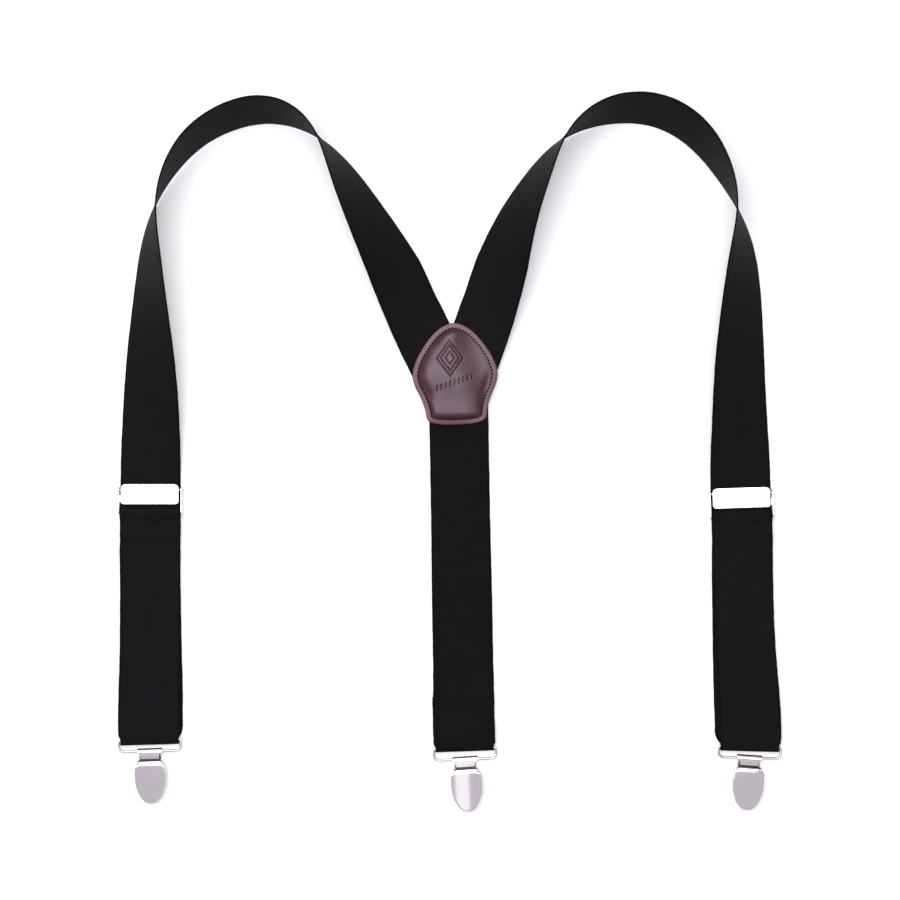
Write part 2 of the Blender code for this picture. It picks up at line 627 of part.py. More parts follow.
def patch():
    """Two leathers with the straps between them, and the seam round the front."""
    finish(plate("patch_back", patch_outline(), (0.0, LEATHER), ROOT), "leather")

    work = bmesh.new()
    rings = []
    for rim in PATCH_RIMS:
        level = PATCH_RIM_LEVEL + PATCH_CROWN * (1 - rim ** CROWN_POWER)
        rings.append([work.verts.new(Vector((x, y, level)) * MM)
                      for x, y in patch_outline(rim)])
    count = len(rings[0])
    for outer, inner in zip(rings, rings[1:]):
        for i in range(count):
            j = (i + 1) % count
            work.faces.new((outer[i], inner[i], inner[j], outer[j]))
    work.faces.new(rings[-1])
    bmesh.ops.recalc_face_normals(work, faces=work.faces)
    mesh = bpy.data.meshes.new("patch_front")
    work.to_mesh(mesh)
    work.free()
    front = new_object("patch_front", mesh, ROOT)
    solidify = front.modifiers.new("thickness", "SOLIDIFY")
    solidify.thickness = LEATHER * MM
    solidify.offset = 0.0
    finish(front, "leather")

    level = (PATCH_RIM_LEVEL + PATCH_CROWN * (1 - STITCH_SCALE ** CROWN_POWER)
             + LEATHER / 2 + GAP + THREAD_RADIUS)
    seam = new_curve("patch_thread", [(x, y, level) for x, y in patch_outline(STITCH_SCALE)],
                     ROOT, True, "3D")
    seam.data.bevel_depth = THREAD_RADIUS * MM
    seam.data.bevel_resolution = 1
    finish(to_mesh(seam), "thread")


# --- the whole ---------------------------------------------------------------
clear_scene()
PARTS = new_collection("suspenders")
CUTTERS = new_collection("cutters")
ROOT = new_empty("suspenders_frame", (*SHIFT, 0.0), 0.0, None)

shoulder_strap("left", LEFT_ROUTE, 1)
shoulder_strap("right", RIGHT_ROUTE, -1)
back_strap()
patch()

for SIDE, (PLACE, YAW) in SLIDERS.items():
    SLIDER = new_empty(f"{SIDE}_slider_frame", (*PLACE, 0.0), YAW, ROOT)
    strap_pass(SIDE, SLIDER)
    tail_loop(SIDE, SLIDER)
    slider_parts(SIDE, SLIDER)
    between_slider_and_fold(f"{SIDE}_strap_run", PASS_LOW, fold_front_level)
    between_slider_and_fold(f"{SIDE}_strap_tail", TAIL_LOOP_LOW, None)

for SIDE, (PLACE, YAW) in BARS.items():
    BAR = new_empty(f"{SIDE}_bar_frame", (*PLACE, 0.0), YAW, ROOT)
    if SIDE in SLIDERS:
        strap_fold(SIDE, BAR)
    ring(SIDE, BAR)
    CLIP = new_empty(f"{SIDE}_clip_frame", (0.0, -RING_DROP, 0.0), CLIP_YAW[SIDE], BAR)
    for MAKE in (clip_base, clip_pin, clip_grip, clip_jaw, clip_lever):
        MAKE(SIDE, CLIP)
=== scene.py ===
"""Looks of the Y-back clip suspenders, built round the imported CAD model.

Lengths are in millimetres in each part's own frame: x across the strap, y up
the strap, z above the table. A frame's place and turn come from the CAD joints.
"""
import json
import math

import bpy
import numpy as np
from mathutils import Matrix, Vector


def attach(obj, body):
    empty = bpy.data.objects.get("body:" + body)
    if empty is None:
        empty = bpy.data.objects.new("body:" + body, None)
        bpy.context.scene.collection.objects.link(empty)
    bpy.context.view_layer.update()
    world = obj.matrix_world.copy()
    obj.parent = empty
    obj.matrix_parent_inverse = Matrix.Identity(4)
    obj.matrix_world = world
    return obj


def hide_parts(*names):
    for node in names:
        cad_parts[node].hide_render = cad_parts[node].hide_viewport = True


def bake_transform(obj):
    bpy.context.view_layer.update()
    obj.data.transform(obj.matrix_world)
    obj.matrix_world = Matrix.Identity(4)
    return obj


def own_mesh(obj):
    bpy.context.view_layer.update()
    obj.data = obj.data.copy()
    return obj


MM = 0.001
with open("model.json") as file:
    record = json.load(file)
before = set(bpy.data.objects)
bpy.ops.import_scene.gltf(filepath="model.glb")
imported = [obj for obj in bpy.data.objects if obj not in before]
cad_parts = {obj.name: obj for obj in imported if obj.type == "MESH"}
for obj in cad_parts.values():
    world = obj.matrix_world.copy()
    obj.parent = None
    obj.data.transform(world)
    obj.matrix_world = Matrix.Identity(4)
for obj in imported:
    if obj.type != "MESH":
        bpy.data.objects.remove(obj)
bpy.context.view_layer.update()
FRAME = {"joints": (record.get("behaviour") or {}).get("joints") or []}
JOINTS = {joint["name"]: joint for joint in FRAME["joints"]}

# --- sizes shared with the CAD model ------------------------------------------
STRAP_HALF = 17.5
STRAP_THICK = 1.0
FOLD_HALF, FOLD_BULGE, LEG_GAIN = 16.9, 1.05, 0.45   # nipped by the bar, wider above it
FOLD_SAG = 0.9                  # how far a front fold hangs below its bar
FOLD_LENGTH = 12.0
FOLD_REACH = 22.0
REAR_LEVEL = 0.5
FRONT_LEVEL = 1.8
BAR_LEVEL = 1.85
FOLD_RADIUS = 1.35
BACK_FLAP = 30.0
RING_HALF, RING_DROP, WIRE_RADIUS = 17.9, 6.4, 0.7
CROSSBAR_Y = -10.3
ROD_Y, ROD_Z = 2.2, 3.6
PASS_TOP, PASS_LOW = 6.0, -29.3
TAIL_LOOP_LOW = -24.0
PIN_Y, PIN_Z = -6.6, 4.0
PADDLE_SIDE = ((8.75, -9.0), (8.95, -12.0), (8.9, -16.5), (8.2, -20.8), (6.8, -24.6),
               (5.0, -27.4), (2.9, -29.3), (0.0, -30.0))
JAW_PIVOT_Y = -3.0
SHIFT = Vector((0.0, 2.3))      # from the routes' own origin to the table's middle

LEFT_ROUTE = (
    (-172.9, 11.9, 12, 0), (-172.6, 46.7, 28, 0), (-172.6, 83.8, 50, 0),
    (-172.1, 118.6, 66, 0.5), (-169.5, 142.4, 84, 2), (-156.2, 169, 100.2, 3),
    (-140.1, 185.5, 106.6, 1.5), (-109.5, 197.5, 111.5, 0), (-95, 194.9, 108, 0.5),
    (-86.6, 190.6, 102, 1.5), (-75.2, 182.5, 91, 3), (-62.8, 161.4, 66.5, 3),
    (-48.7, 135.5, 50, 1.5), (-31.4, 103.2, 28.5, 0.3), (-19.2, 77.6, 8, 0.9),
    (-11.1, 59.5, 0, 1.2), (-5.1, 48.2, 0, 1.2))
RIGHT_ROUTE = (
    (167.4, 11.9, 17.8, 0), (166.9, 46.7, 27.8, 0), (167.9, 83.8, 43, 0),
    (168.2, 104.7, 52.3, 0.5), (167.6, 125.6, 67.7, 1), (164.5, 143.6, 90, 2.5),
    (154.5, 164.9, 102.9, 1.5), (146.2, 178.5, 110, 0.8), (127.6, 193.5, 114.3, 0),
    (107.5, 197.9, 113.6, 0), (89.2, 195.5, 111, 0.5), (78.2, 190.5, 101.4, 1.5),
    (62.4, 179, 86, 3), (53.8, 163, 70, 3), (45.5, 147.9, 61, 2.2),
    (36.6, 129.3, 47.6, 1.5), (29.9, 106.7, 31, 1.4), (24.8, 90.2, 18, 2.0),
    (20, 75.8, 5, 2.4), (17.5, 67.8, 0, 2.4), (15.1, 60.6, 0, 2.4), (10, 47.7, 0, 2.4))
BACK_TOP = ((47.0, 4.1), (43.0, 4.1), (38.0, 4.0), (30.0, 2.9), (23.0, 2.05),
            (17.0, 1.95), (10.0, 1.2), (3.0, 0.5), (-6.0, 0.5))
BACK_TOP_X = 4.6
PASS_ROUTE = ((PASS_TOP, 0.5), (3.5, 0.55), (-1.0, 1.45), (-4.6, 1.5), (-8.0, 3.7),
              (-10.3, 4.55), (-12.8, 4.35), (-15.0, 3.6), (-17.5, 3.15),
              (-23.0, 3.12), (-26.0, 2.6), (PASS_LOW, 1.8))
FLAP_ROUTE = ((-10.3, 3.2), (-12.5, 2.9), (-15.0, 1.95), (-17.0, 1.8), (-24.0, 1.8))

# Under the leather each strap is gathered a little, mostly on its inner edge.
GATHER = {"left": (1.0, 1.0), "right": (1.0, 0.35)}     # half width lost, sideways shift

# How far each layer of a front leg lies right of the line from slider to fold,
# by the share of that way.
SIDEWAYS = {
    "left_run": ((0, 0), (0.2, 0.1), (0.6, 0.2), (0.85, -0.1), (1, 0)),
    "left_tail": ((0, 0), (0.07, -0.7), (0.25, 0.0), (0.55, 0.9), (0.85, 1.6), (1, 1.5)),
    "right_run": ((0, 0), (0.08, -0.35), (0.25, -0.8), (0.42, -1.05), (0.58, -0.8),
                  (0.74, -0.2), (0.87, 0.2), (1, 0)),
    "right_tail": ((0, 0), (0.08, -0.6), (0.25, -1.2), (0.45, -1.8), (0.7, -2.6), (1, -2.5))}

PATCH_CENTRE = Vector((2.9, 44.7))
PATCH_YAW = 2.0
PATCH_HALF = ((0.0, 28.6), (3.0, 28.2), (7.5, 26.2), (11.6, 22.9), (15.6, 18.4),
              (19.2, 13.2), (21.8, 8.6), (23.7, 3.7), (24.5, -0.4), (24.2, -4.0),
              (22.9, -8.2), (20.7, -12.9), (18.9, -17.5), (17.8, -21.6), (17.5, -24.2),
              (16.9, -26.4), (15.0, -28.1), (11.5, -29.2), (6.0, -29.8), (0.0, -29.9))
LEATHER = 1.1
STITCH_INSET = 2.8
CREASES = ((-16.2, -11.0, -62, 0.5), (17.6, -9.5, 74, 0.8))     # x, y, angle, depth
STITCH_PITCH, THREAD_RADIUS = 2.1, 0.42
EDGE_TURNS = (30, 60, 90, 120, 150)     # degrees round the leather's cut edge
GATHER_REACH, GATHER_EASE = 66.0, 28.0  # from the strap's end: where gathering starts, eases in
BACK_NARROWER = 0.35            # lost from the back strap's half width near the patch
EDGE_RIPPLES = ((0.05, 0.43, 0.0), (0.04, 1.13, 1.7), (0.03, 2.9, 0.4))     # size, rate, phase
BACK_U, END_UV = 40.0, (17.0, 0.0)      # where the webbing's back and cut ends lie in its UVs
COVER_TOP, COVER_CROWN, COVER_ROUND = 4.98, 0.14, 0.36
CAMERA_HEIGHT, CAMERA_FIELD = 1.4, 0.522        # metres: above the table, and seen across it


# --- places -------------------------------------------------------------------
def place_of(x, y, yaw):
    """A frame on the table, x and y in mm and yaw in radians."""
    return Matrix.Translation((x * MM, y * MM, 0)) @ Matrix.Rotation(yaw, 4, "Z")


def frame_at(position_joint, axis_joint, offset_y):
    """The frame whose joint lies at (0, offset_y), with its x against the axis."""
    axis = JOINTS[axis_joint]["axis"]
    yaw = math.atan2(-axis[1], -axis[0])
    x, y = (value / MM for value in JOINTS[position_joint]["pos_m"][:2])
    return place_of(x + offset_y * math.sin(yaw), y - offset_y * math.cos(yaw), yaw)


SLIDERS = {side: frame_at(f"{side}_slider_lever_tilt", f"{side}_slider_lever_tilt", ROD_Y)
           for side in ("left", "right")}
BARS = {side: frame_at(f"{side}_ring_swing", f"{side}_ring_swing", 0.0)
        for side in ("left", "right", "back")}
CLIPS = {side: frame_at(f"{side}_clip_swing", f"{side}_clip_lever_tilt", 0.0)
         for side in BARS}
TABLE = place_of(SHIFT.x, SHIFT.y, 0.0)


def at(frame, x, y, z=0.0):
    """A point of a frame as world coordinates in mm."""
    return frame @ (Vector((x, y, z)) * MM) / MM


# --- plane and space curves -----------------------------------------------------
def smooth_step(t):
    t = np.clip(t, 0.0, 1.0)
    return t * t * (3 - 2 * t)


def arc(centre, radius, start, end, steps):
    angles = np.radians(np.linspace(start, end, steps + 1))
    return [(centre[0] + radius * math.cos(a), centre[1] + radius * math.sin(a))
            for a in angles]


def rounded_outline(corners, steps=8):
    """A closed outline through (x, y, radius) corners with a round at each."""
    points = []
    for index, (x, y, radius) in enumerate(corners):
        here = Vector((x, y))
        to_last = Vector(corners[index - 1][:2]) - here
        to_next = Vector(corners[(index + 1) % len(corners)][:2]) - here
        half_turn = to_last.angle(to_next) / 2
        reach = min(radius / math.tan(half_turn), 0.48 * to_last.length,
                    0.48 * to_next.length)
        first = here + to_last.normalized() * reach
        last = here + to_next.normalized() * reach
        for i in range(steps + 1):
            t = i / steps
            points.append(tuple((1 - t) ** 2 * first + 2 * t * (1 - t) * here + t * t * last))
    return points


def box_outline(low, high):
    return [(low[0], low[1]), (high[0], low[1]), (high[0], high[1]), (low[0], high[1])]


def unit(vectors):
    """The rows of an array, each made 1 long."""
    return vectors / np.linalg.norm(vectors, axis=1)[:, None]


def left_of(ring):
    """Unit directions to the left of a closed line, at its points."""
    tangent = unit(np.roll(ring, -1, axis=0) - np.roll(ring, 1, axis=0))
    return np.stack([-tangent[:, 1], tangent[:, 0]], 1)


def run_along(line):
    """How far along a line each of its points lies."""
    return np.concatenate([[0], np.cumsum(np.linalg.norm(np.diff(line, axis=0), axis=1))])


def resampled(line, lengths, wanted):
    """The line's points at the wanted lengths along it."""
    return np.stack([np.interp(wanted, lengths, line[:, k]) for k in range(line.shape[1])], 1)


def evenly(points, count):
    """The same closed line as count evenly spaced points."""
    line = np.array(points, float)
    line = np.vstack([line, line[:1]])
    lengths = run_along(line)
    return resampled(line, lengths, np.linspace(0, lengths[-1], count + 1)[:-1])


def smooth_spans(befores, starts, stops, afters, steps):
    """Catmull-Rom points from each start towards its stop, steps to a span."""
    t = np.linspace(0, 1, steps, endpoint=False)[:, None]
    return [0.5 * (2 * b + (c - a) * t + (2 * a - 5 * b + 4 * c - d) * t ** 2
                   + (3 * b - a - 3 * c + d) * t ** 3)
            for a, b, c, d in zip(befores, starts, stops, afters)]


def catmull_rom(keys, step):
    """Even stations along a smooth line through keys, measured on x and y."""
    keys = np.array([keys[0], *keys, keys[-1]], float)
    line = np.vstack([*smooth_spans(keys, keys[1:], keys[2:], keys[3:], 24), keys[-1:]])
    lengths = run_along(line[:, :2])
    wanted = np.linspace(0, lengths[-1], max(2, round(lengths[-1] / step)) + 1)
    return resampled(line, lengths, wanted)


def eased(values, width):
    """Values with short wobbles taken out; the ends stay."""
    reach = 3 * width
    offsets = np.arange(-reach, reach + 1)
    weights = np.exp(-0.5 * (offsets / width) ** 2)
    weights /= weights.sum()
    first, last = values[:1], values[-1:]
    padded = np.concatenate([2 * first - values[reach:0:-1], values,
                             2 * last - values[-2:-reach - 2:-1]])
    return np.stack([np.convolve(padded[:, k], weights, "valid")
                     for k in range(values.shape[1])], 1)


# --- materials ------------------------------------------------------------------
def set_stops(ramp, stops):
    """Gives a colour ramp its (position, colour) stops."""
    while len(ramp.elements) < len(stops):
        ramp.elements.new(0.5)
    for element, (position, colour) in zip(ramp.elements, stops):
        element.position = position
        element.color = (*colour, 1)


class Nodes:
    """Short calls for building one material's node tree."""

    def __init__(self, name):
        self.material = bpy.data.materials.new(name)
        self.material.use_nodes = True
        self.tree = self.material.node_tree
        self.shader = self.tree.nodes["Principled BSDF"]

    def put(self, socket, value):
        if isinstance(value, bpy.types.NodeSocket):
            self.tree.links.new(value, socket)
        else:
            socket.default_value = value

    def node(self, kind, inputs=None, **settings):
        made = self.tree.nodes.new(kind)
        for key, value in settings.items():
            setattr(made, key, value)
        for key, value in (inputs or {}).items():
            self.put(made.inputs[key], value)
        return made

    def math(self, operation, *values):
        made = self.node("ShaderNodeMath", operation=operation)
        for socket, value in zip(made.inputs, values):
            self.put(socket, value)
        return made.outputs[0]

    def ramp(self, factor, stops):
        made = self.node("ShaderNodeValToRGB", {"Fac": factor})
        set_stops(made.color_ramp, stops)
        return made.outputs["Color"]

    def mix(self, factor, a, b):
        made = self.node("ShaderNodeMix", data_type="RGBA")
        self.put(made.inputs["Factor"], factor)
        for key, value in (("A", a), ("B", b)):
            self.put(made.inputs[key], (*value, 1) if isinstance(value, tuple) else value)
        return made.outputs["Result"]

    def noise(self, vector, scale, detail=3.0, roughness=0.5):
        return self.node("ShaderNodeTexNoise", {
            "Vector": vector, "Scale": scale, "Detail": detail,
            "Roughness": roughness}).outputs["Fac"]

    def bump(self, height, distance, strength):
        return self.node("ShaderNodeBump", {"Height": height, "Distance": distance,
                                            "Strength": strength}).outputs["Normal"]

    def principled(self, **values):
        for key, value in values.items():
            self.put(self.shader.inputs[key.replace("_", " ")], value)
        return self.material


def webbing_material():
    """Black elastic webbing: u runs 0 to 35 mm on the face, from BACK_U on its back."""
    n = Nodes("webbing_black")
    uv = n.node("ShaderNodeUVMap", uv_map="weave").outputs["UV"]
    axes = n.node("ShaderNodeSeparateXYZ", {"Vector": uv})
    across, along = axes.outputs["X"], axes.outputs["Y"]
    back = n.math("GREATER_THAN", across, (2 * STRAP_HALF + BACK_U) / 2)
    side = n.math("SUBTRACT", across, n.math("MULTIPLY", back, BACK_U))
    from_middle = n.math("ABSOLUTE", n.math("SUBTRACT", side, STRAP_HALF))
    edge = n.math("GREATER_THAN", from_middle, 16.2)

    column = n.math("FLOOR", n.math("DIVIDE", side, 0.75))
    stagger = n.math("MULTIPLY", column, math.pi * 0.5)
    float_wave = n.math("SINE", n.math("ADD", n.math("MULTIPLY", along, 2 * math.pi / 1.7),
                                       stagger))
    groove = n.math("ABSOLUTE", n.math("SINE", n.math("MULTIPLY", side, math.pi / 0.75)))
    rib = n.math("SINE", n.math("MULTIPLY", along, 2 * math.pi / 0.85))
    body = n.math("ADD", n.math("MULTIPLY", float_wave, 0.35),
                  n.math("ADD", n.math("MULTIPLY", groove, 0.45), n.math("MULTIPLY", rib, 0.2)))
    selvedge = n.math("MULTIPLY", n.math("SINE", n.math("MULTIPLY", along, 2 * math.pi / 1.1)),
                      0.6)
    relief = n.math("ADD", n.math("MULTIPLY", body, n.math("SUBTRACT", 1.0, edge)),
                    n.math("MULTIPLY", selvedge, edge))
    fuzz = n.noise(uv, 3.1, 4.0, 0.7)
    patchy = n.noise(uv, 0.09, 3.0, 0.5)

    shade = n.math("ADD", n.math("MULTIPLY", relief, 0.28),
                   n.math("ADD", n.math("MULTIPLY", fuzz, 0.5), n.math("MULTIPLY", patchy, 0.35)))
    face = n.ramp(shade, ((0.05, (0.0012, 0.0012, 0.0018)), (0.55, (0.0048, 0.0045, 0.0062)),
                          (0.95, (0.0125, 0.012, 0.0145))))
    reverse = n.ramp(shade, ((0.05, (0.0008, 0.0008, 0.0012)), (0.6, (0.0032, 0.003, 0.0042)),
                             (0.95, (0.0075, 0.0072, 0.009))))
    colour = n.mix(back, face, reverse)
    colour = n.mix(n.math("MULTIPLY", edge, 0.7), colour, (0.0008, 0.0008, 0.002))
    rough = n.math("ADD", 0.62, n.math("MULTIPLY", fuzz, 0.22))
    normal = n.bump(n.math("ADD", relief, n.math("MULTIPLY", fuzz, 0.5)), 0.00011, 0.8)
    return n.principled(Base_Color=colour, Roughness=rough, Normal=normal,
                        Specular_IOR_Level=0.1, Sheen_Weight=0.02, Sheen_Roughness=0.35,
                        Sheen_Tint=(0.8, 0.8, 0.9, 1))


def leather_material():
    """Dark burgundy leather with a paler rim that is painted sheen, and raw maroon edges."""
    n = Nodes("leather_burgundy")
    place = n.node("ShaderNodeTexCoord").outputs["Object"]
    rim = n.node("ShaderNodeAttribute", attribute_name="rim").outputs["Fac"]
    press = n.node("ShaderNodeAttribute", attribute_name="press").outputs["Fac"]
    cells = n.node("ShaderNodeTexVoronoi", {"Vector": place, "Scale": 1500.0},
                   feature="DISTANCE_TO_EDGE").outputs["Distance"]
    pores = n.noise(place, 2600.0, 4.0, 0.6)
    cloud = n.noise(place, 120.0, 4.0, 0.55)
    streak = n.noise(place, 420.0, 5.0, 0.65)
    base = n.ramp(cloud, ((0.3, (0.034, 0.008, 0.014)), (0.55, (0.05, 0.013, 0.021)),
                          (0.8, (0.07, 0.022, 0.032))))
    base = n.mix(n.math("MULTIPLY", streak, 0.2), base, (0.09, 0.035, 0.065))
    base = n.mix(n.math("MULTIPLY", press, 0.75), base, (0.022, 0.009, 0.013))
    raw = n.node("ShaderNodeAttribute", attribute_name="raw").outputs["Fac"]
    # Painted sheen: where the rim mask is set, the leather is lightened to a pale pink-grey as if
    # it caught the light.
    rim_sheen = n.mix(streak, (0.1, 0.048, 0.06), (0.2, 0.115, 0.14))
    colour = n.mix(n.math("MULTIPLY", rim, 0.85), base, rim_sheen)
    colour = n.mix(raw, colour, n.mix(streak, (0.085, 0.012, 0.022), (0.15, 0.028, 0.045)))
    rough = n.math("ADD", n.math("ADD", 0.2, n.math("MULTIPLY", pores, 0.12)),
                   n.math("MULTIPLY", rim, 0.2))
    grain = n.math("ADD", n.math("MULTIPLY", n.math("MINIMUM", cells, 0.35), 1.6),
                   n.math("MULTIPLY", pores, 0.4))
    normal = n.bump(grain, 0.00007, 0.55)
    return n.principled(Base_Color=colour, Roughness=rough, Normal=normal,
                        Specular_IOR_Level=0.55, Specular_Tint=(1.0, 0.86, 0.98, 1.0),
                        Coat_Weight=0.1, Coat_Roughness=0.25)


def thread_material():
    """Waxed dark thread with a visible twist."""
    n = Nodes("thread_dark")
    place = n.node("ShaderNodeTexCoord").outputs["Object"]
    twist = n.node("ShaderNodeTexWave", {"Vector": place, "Scale": 900.0, "Distortion": 2.0},
                   bands_direction="DIAGONAL").outputs["Fac"]
    colour = n.ramp(twist, ((0.2, (0.004, 0.002, 0.003)), (0.8, (0.016, 0.006, 0.009))))
    return n.principled(Base_Color=colour, Roughness=n.math("ADD", 0.45, n.math(
        "MULTIPLY", twist, 0.2)), Normal=n.bump(twist, 0.00006, 0.7), Specular_IOR_Level=0.15)


def nickel_material(name, tint, roughness, brushed):
    """Nickel plate: fine drawn lines, soft smudges, a few darker pits."""
    n = Nodes(name)
    place = n.node("ShaderNodeTexCoord").outputs["Object"]
    drawn = n.node("ShaderNodeMapping", {"Vector": place, "Scale": (9000.0, 260.0, 900.0)})
    lines = n.noise(drawn.outputs["Vector"], 1.0, 3.0, 0.6)
    smudge = n.noise(place, 160.0, 4.0, 0.6)
    pits = n.noise(place, 1700.0, 2.0, 0.4)
    dull = tuple(value * 0.86 for value in tint)
    colour = n.mix(n.math("MULTIPLY", smudge, 0.6), tint, dull)
    rough = n.math("ADD", roughness, n.math("ADD", n.math("MULTIPLY", smudge, 0.04),
                                            n.math("MULTIPLY", lines, brushed)))
    height = n.math("ADD", n.math("MULTIPLY", lines, brushed * 4), n.math("MULTIPLY", pits, 0.3))
    return n.principled(Base_Color=colour, Metallic=1.0, Roughness=rough,
                        Normal=n.bump(height, 0.00001, 0.35))


def rubber_material():
    """Dull dark rubber with a dusty bloom."""
    n = Nodes("rubber_dark")
    place = n.node("ShaderNodeTexCoord").outputs["Object"]
    bloom = n.noise(place, 900.0, 5.0, 0.7)
    colour = n.ramp(bloom, ((0.3, (0.016, 0.008, 0.008)), (0.75, (0.05, 0.03, 0.03))))
    return n.principled(Base_Color=colour, Roughness=0.7, Normal=n.bump(bloom, 0.00008, 0.5))


WEBBING = webbing_material()
LEATHER_RED = leather_material()
THREAD = thread_material()
BRIGHT = nickel_material("nickel_bright", (0.97, 0.965, 0.975), 0.1, 0.02)
SATIN = nickel_material("nickel_satin", (0.77, 0.74, 0.765), 0.03, 0.012)
WIRE = nickel_material("nickel_wire", (0.64, 0.63, 0.64), 0.08, 0.02)
SPRING = nickel_material("steel_spring", (0.07, 0.045, 0.042), 0.2, 0.05)
RUBBER = rubber_material()


# --- mesh helpers -----------------------------------------------------------------
def mesh_piece(name, points, faces, frame, material, flat_angle=35):
    """A mesh from points in mm of a frame."""
    mesh = bpy.data.meshes.new(name)
    world = np.array(frame)
    points = np.array(points, float) * MM
    mesh.from_pydata((points @ world[:3, :3].T + world[:3, 3]).tolist(), [], faces)
    mesh.materials.append(material)
    mesh.shade_smooth()
    mesh.set_sharp_from_angle(angle=math.radians(flat_angle))
    piece = bpy.data.objects.new(name, mesh)
    bpy.context.scene.collection.objects.link(piece)
    return piece


def attribute(piece, name, values):
    made = piece.data.attributes.new(name, "FLOAT", "POINT")
    made.data.foreach_set("value", np.array(values, np.float32))


def bevel(piece, width, segments=3, angle=40):
    modifier = piece.modifiers.new("edges", "BEVEL")
    modifier.width = width * MM
    modifier.segments = segments
    modifier.limit_method = "ANGLE"
    modifier.angle_limit = math.radians(angle)
    modifier.harden_normals = True
    return piece


def sheet_piece(name, stations, thickness, frame, material, columns=6, edge=0.15, crown=0.0):
    """Sheet metal straight along x through (y, z, half width) stations."""
    across = np.linspace(-1, 1, columns + 1)
    points = [(half * s, y, z + crown * (1 - s * s)) for y, z, half in stations for s in across]
    row = columns + 1
    faces = [(i * row + j, i * row + j + 1, (i + 1) * row + j + 1, (i + 1) * row + j)
             for i in range(len(stations) - 1) for j in range(columns)]
    piece = mesh_piece(name, points, faces, frame, material, 50)
    solidify = piece.modifiers.new("thickness", "SOLIDIFY")
    solidify.thickness = thickness * MM
    solidify.offset = 0.0
    solidify.use_even_offset = True
    return bevel(piece, edge, 2, 50)


def plate_piece(name, outline, levels, frame, material, normal="Z", edge=0.15):
    """A flat plate of an outline, between two levels along its normal."""
    count = len(outline)
    order = {"Z": lambda a, b, c: (a, b, c), "X": lambda a, b, c: (c, a, b),
             "Y": lambda a, b, c: (b, c, a)}[normal]
    points = [order(a, b, level) for level in levels for a, b in outline]
    area = sum(a[0] * b[1] - b[0] * a[1] for a, b in zip(outline, (*outline[1:], outline[0])))
    faces = [tuple(reversed(range(count))), tuple(range(count, 2 * count))]
    faces += [(i, (i + 1) % count, count + (i + 1) % count, count + i) for i in range(count)]
    if area < 0:
        faces = [tuple(reversed(face)) for face in faces]
    return bevel(mesh_piece(name, points, faces, frame, material), edge, 3, 50)


def turned_piece(name, profile, y, z, frame, material, segments=32):
    """A piece turned about x through (y, z) from (x, radius) points; ends closed."""
    angles = np.linspace(0, 2 * math.pi, segments, endpoint=False)
    points = [(x, y + radius * math.cos(a), z + radius * math.sin(a))
              for x, radius in profile for a in angles]
    faces = [(i * segments + j, (i + 1) * segments + j, (i + 1) * segments + (j + 1) % segments,
              i * segments + (j + 1) % segments)
             for i in range(len(profile) - 1) for j in range(segments)]
    faces.append(tuple(range(segments)))
    faces.append(tuple(reversed(range((len(profile) - 1) * segments, len(profile) * segments))))
    return mesh_piece(name, points, faces, frame, material)


def dome(x, radius, height, direction, steps=5):
    """Profile of a domed end that starts at x and bulges in a direction."""
    return [(x + direction * height * math.sin(a), radius * math.cos(a))
            for a in np.linspace(0, math.radians(84), steps)]


def pin_profile(half, radius, head_radius, head):
    """A pin with a domed head at both ends."""
    inner = half - head
    right = ([(inner, radius), (inner, head_radius * 0.92), (inner + 0.1, head_radius)]
             + dome(inner + 0.15, head_radius, head - 0.15, 1))
    left = [(-x, r) for x, r in reversed(right)]
    return left + right


def closed_rings(name, rings, frame, material, centre=(0.0, 0.0), flat_angle=50):
    """A closed body from rings of (points, heights), from middle to middle."""
    count = len(rings[0][0])
    points = [(centre[0], centre[1], float(np.mean(rings[0][1])))]
    for xy, z in rings:
        points += [(x, y, level) for (x, y), level in zip(xy, z)]
    points.append((centre[0], centre[1], float(np.mean(rings[-1][1]))))
    faces = [(0, 1 + i, 1 + (i + 1) % count) for i in range(count)]
    for k in range(len(rings) - 1):
        a, b = 1 + k * count, 1 + (k + 1) * count
        faces += [(a + i, b + i, b + (i + 1) % count, a + (i + 1) % count)
                  for i in range(count)]
    last = 1 + (len(rings) - 1) * count
    faces += [(last + (i + 1) % count, last + i, len(points) - 1) for i in range(count)]
    return mesh_piece(name, points, faces, frame, material, flat_angle)


def put(pieces, body, slot, *replaced):
    """Makes pieces ride a body and hides the replaced CAD nodes."""
    for piece in pieces:
        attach(piece, body)
    if replaced:
        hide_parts(*replaced)


# --- webbing ------------------------------------------------------------------------
def webbing_section():
    """Half-section of the webbing as (share of half width, level, mm across)."""
    x = np.array([-17.5, -17.42, -17.15, -16.7, -16.25, -15.9, -15.4, -12, -8, -4, 0,
                  4, 8, 12, 15.4, 15.9, 16.25, 16.7, 17.15, 17.42, 17.5])
    z = np.array([0, 0.24, 0.43, 0.5, 0.47, 0.42, 0.46, 0.48, 0.48, 0.48, 0.48,
                  0.48, 0.48, 0.48, 0.46, 0.42, 0.47, 0.5, 0.43, 0.24, 0])
    return x, z


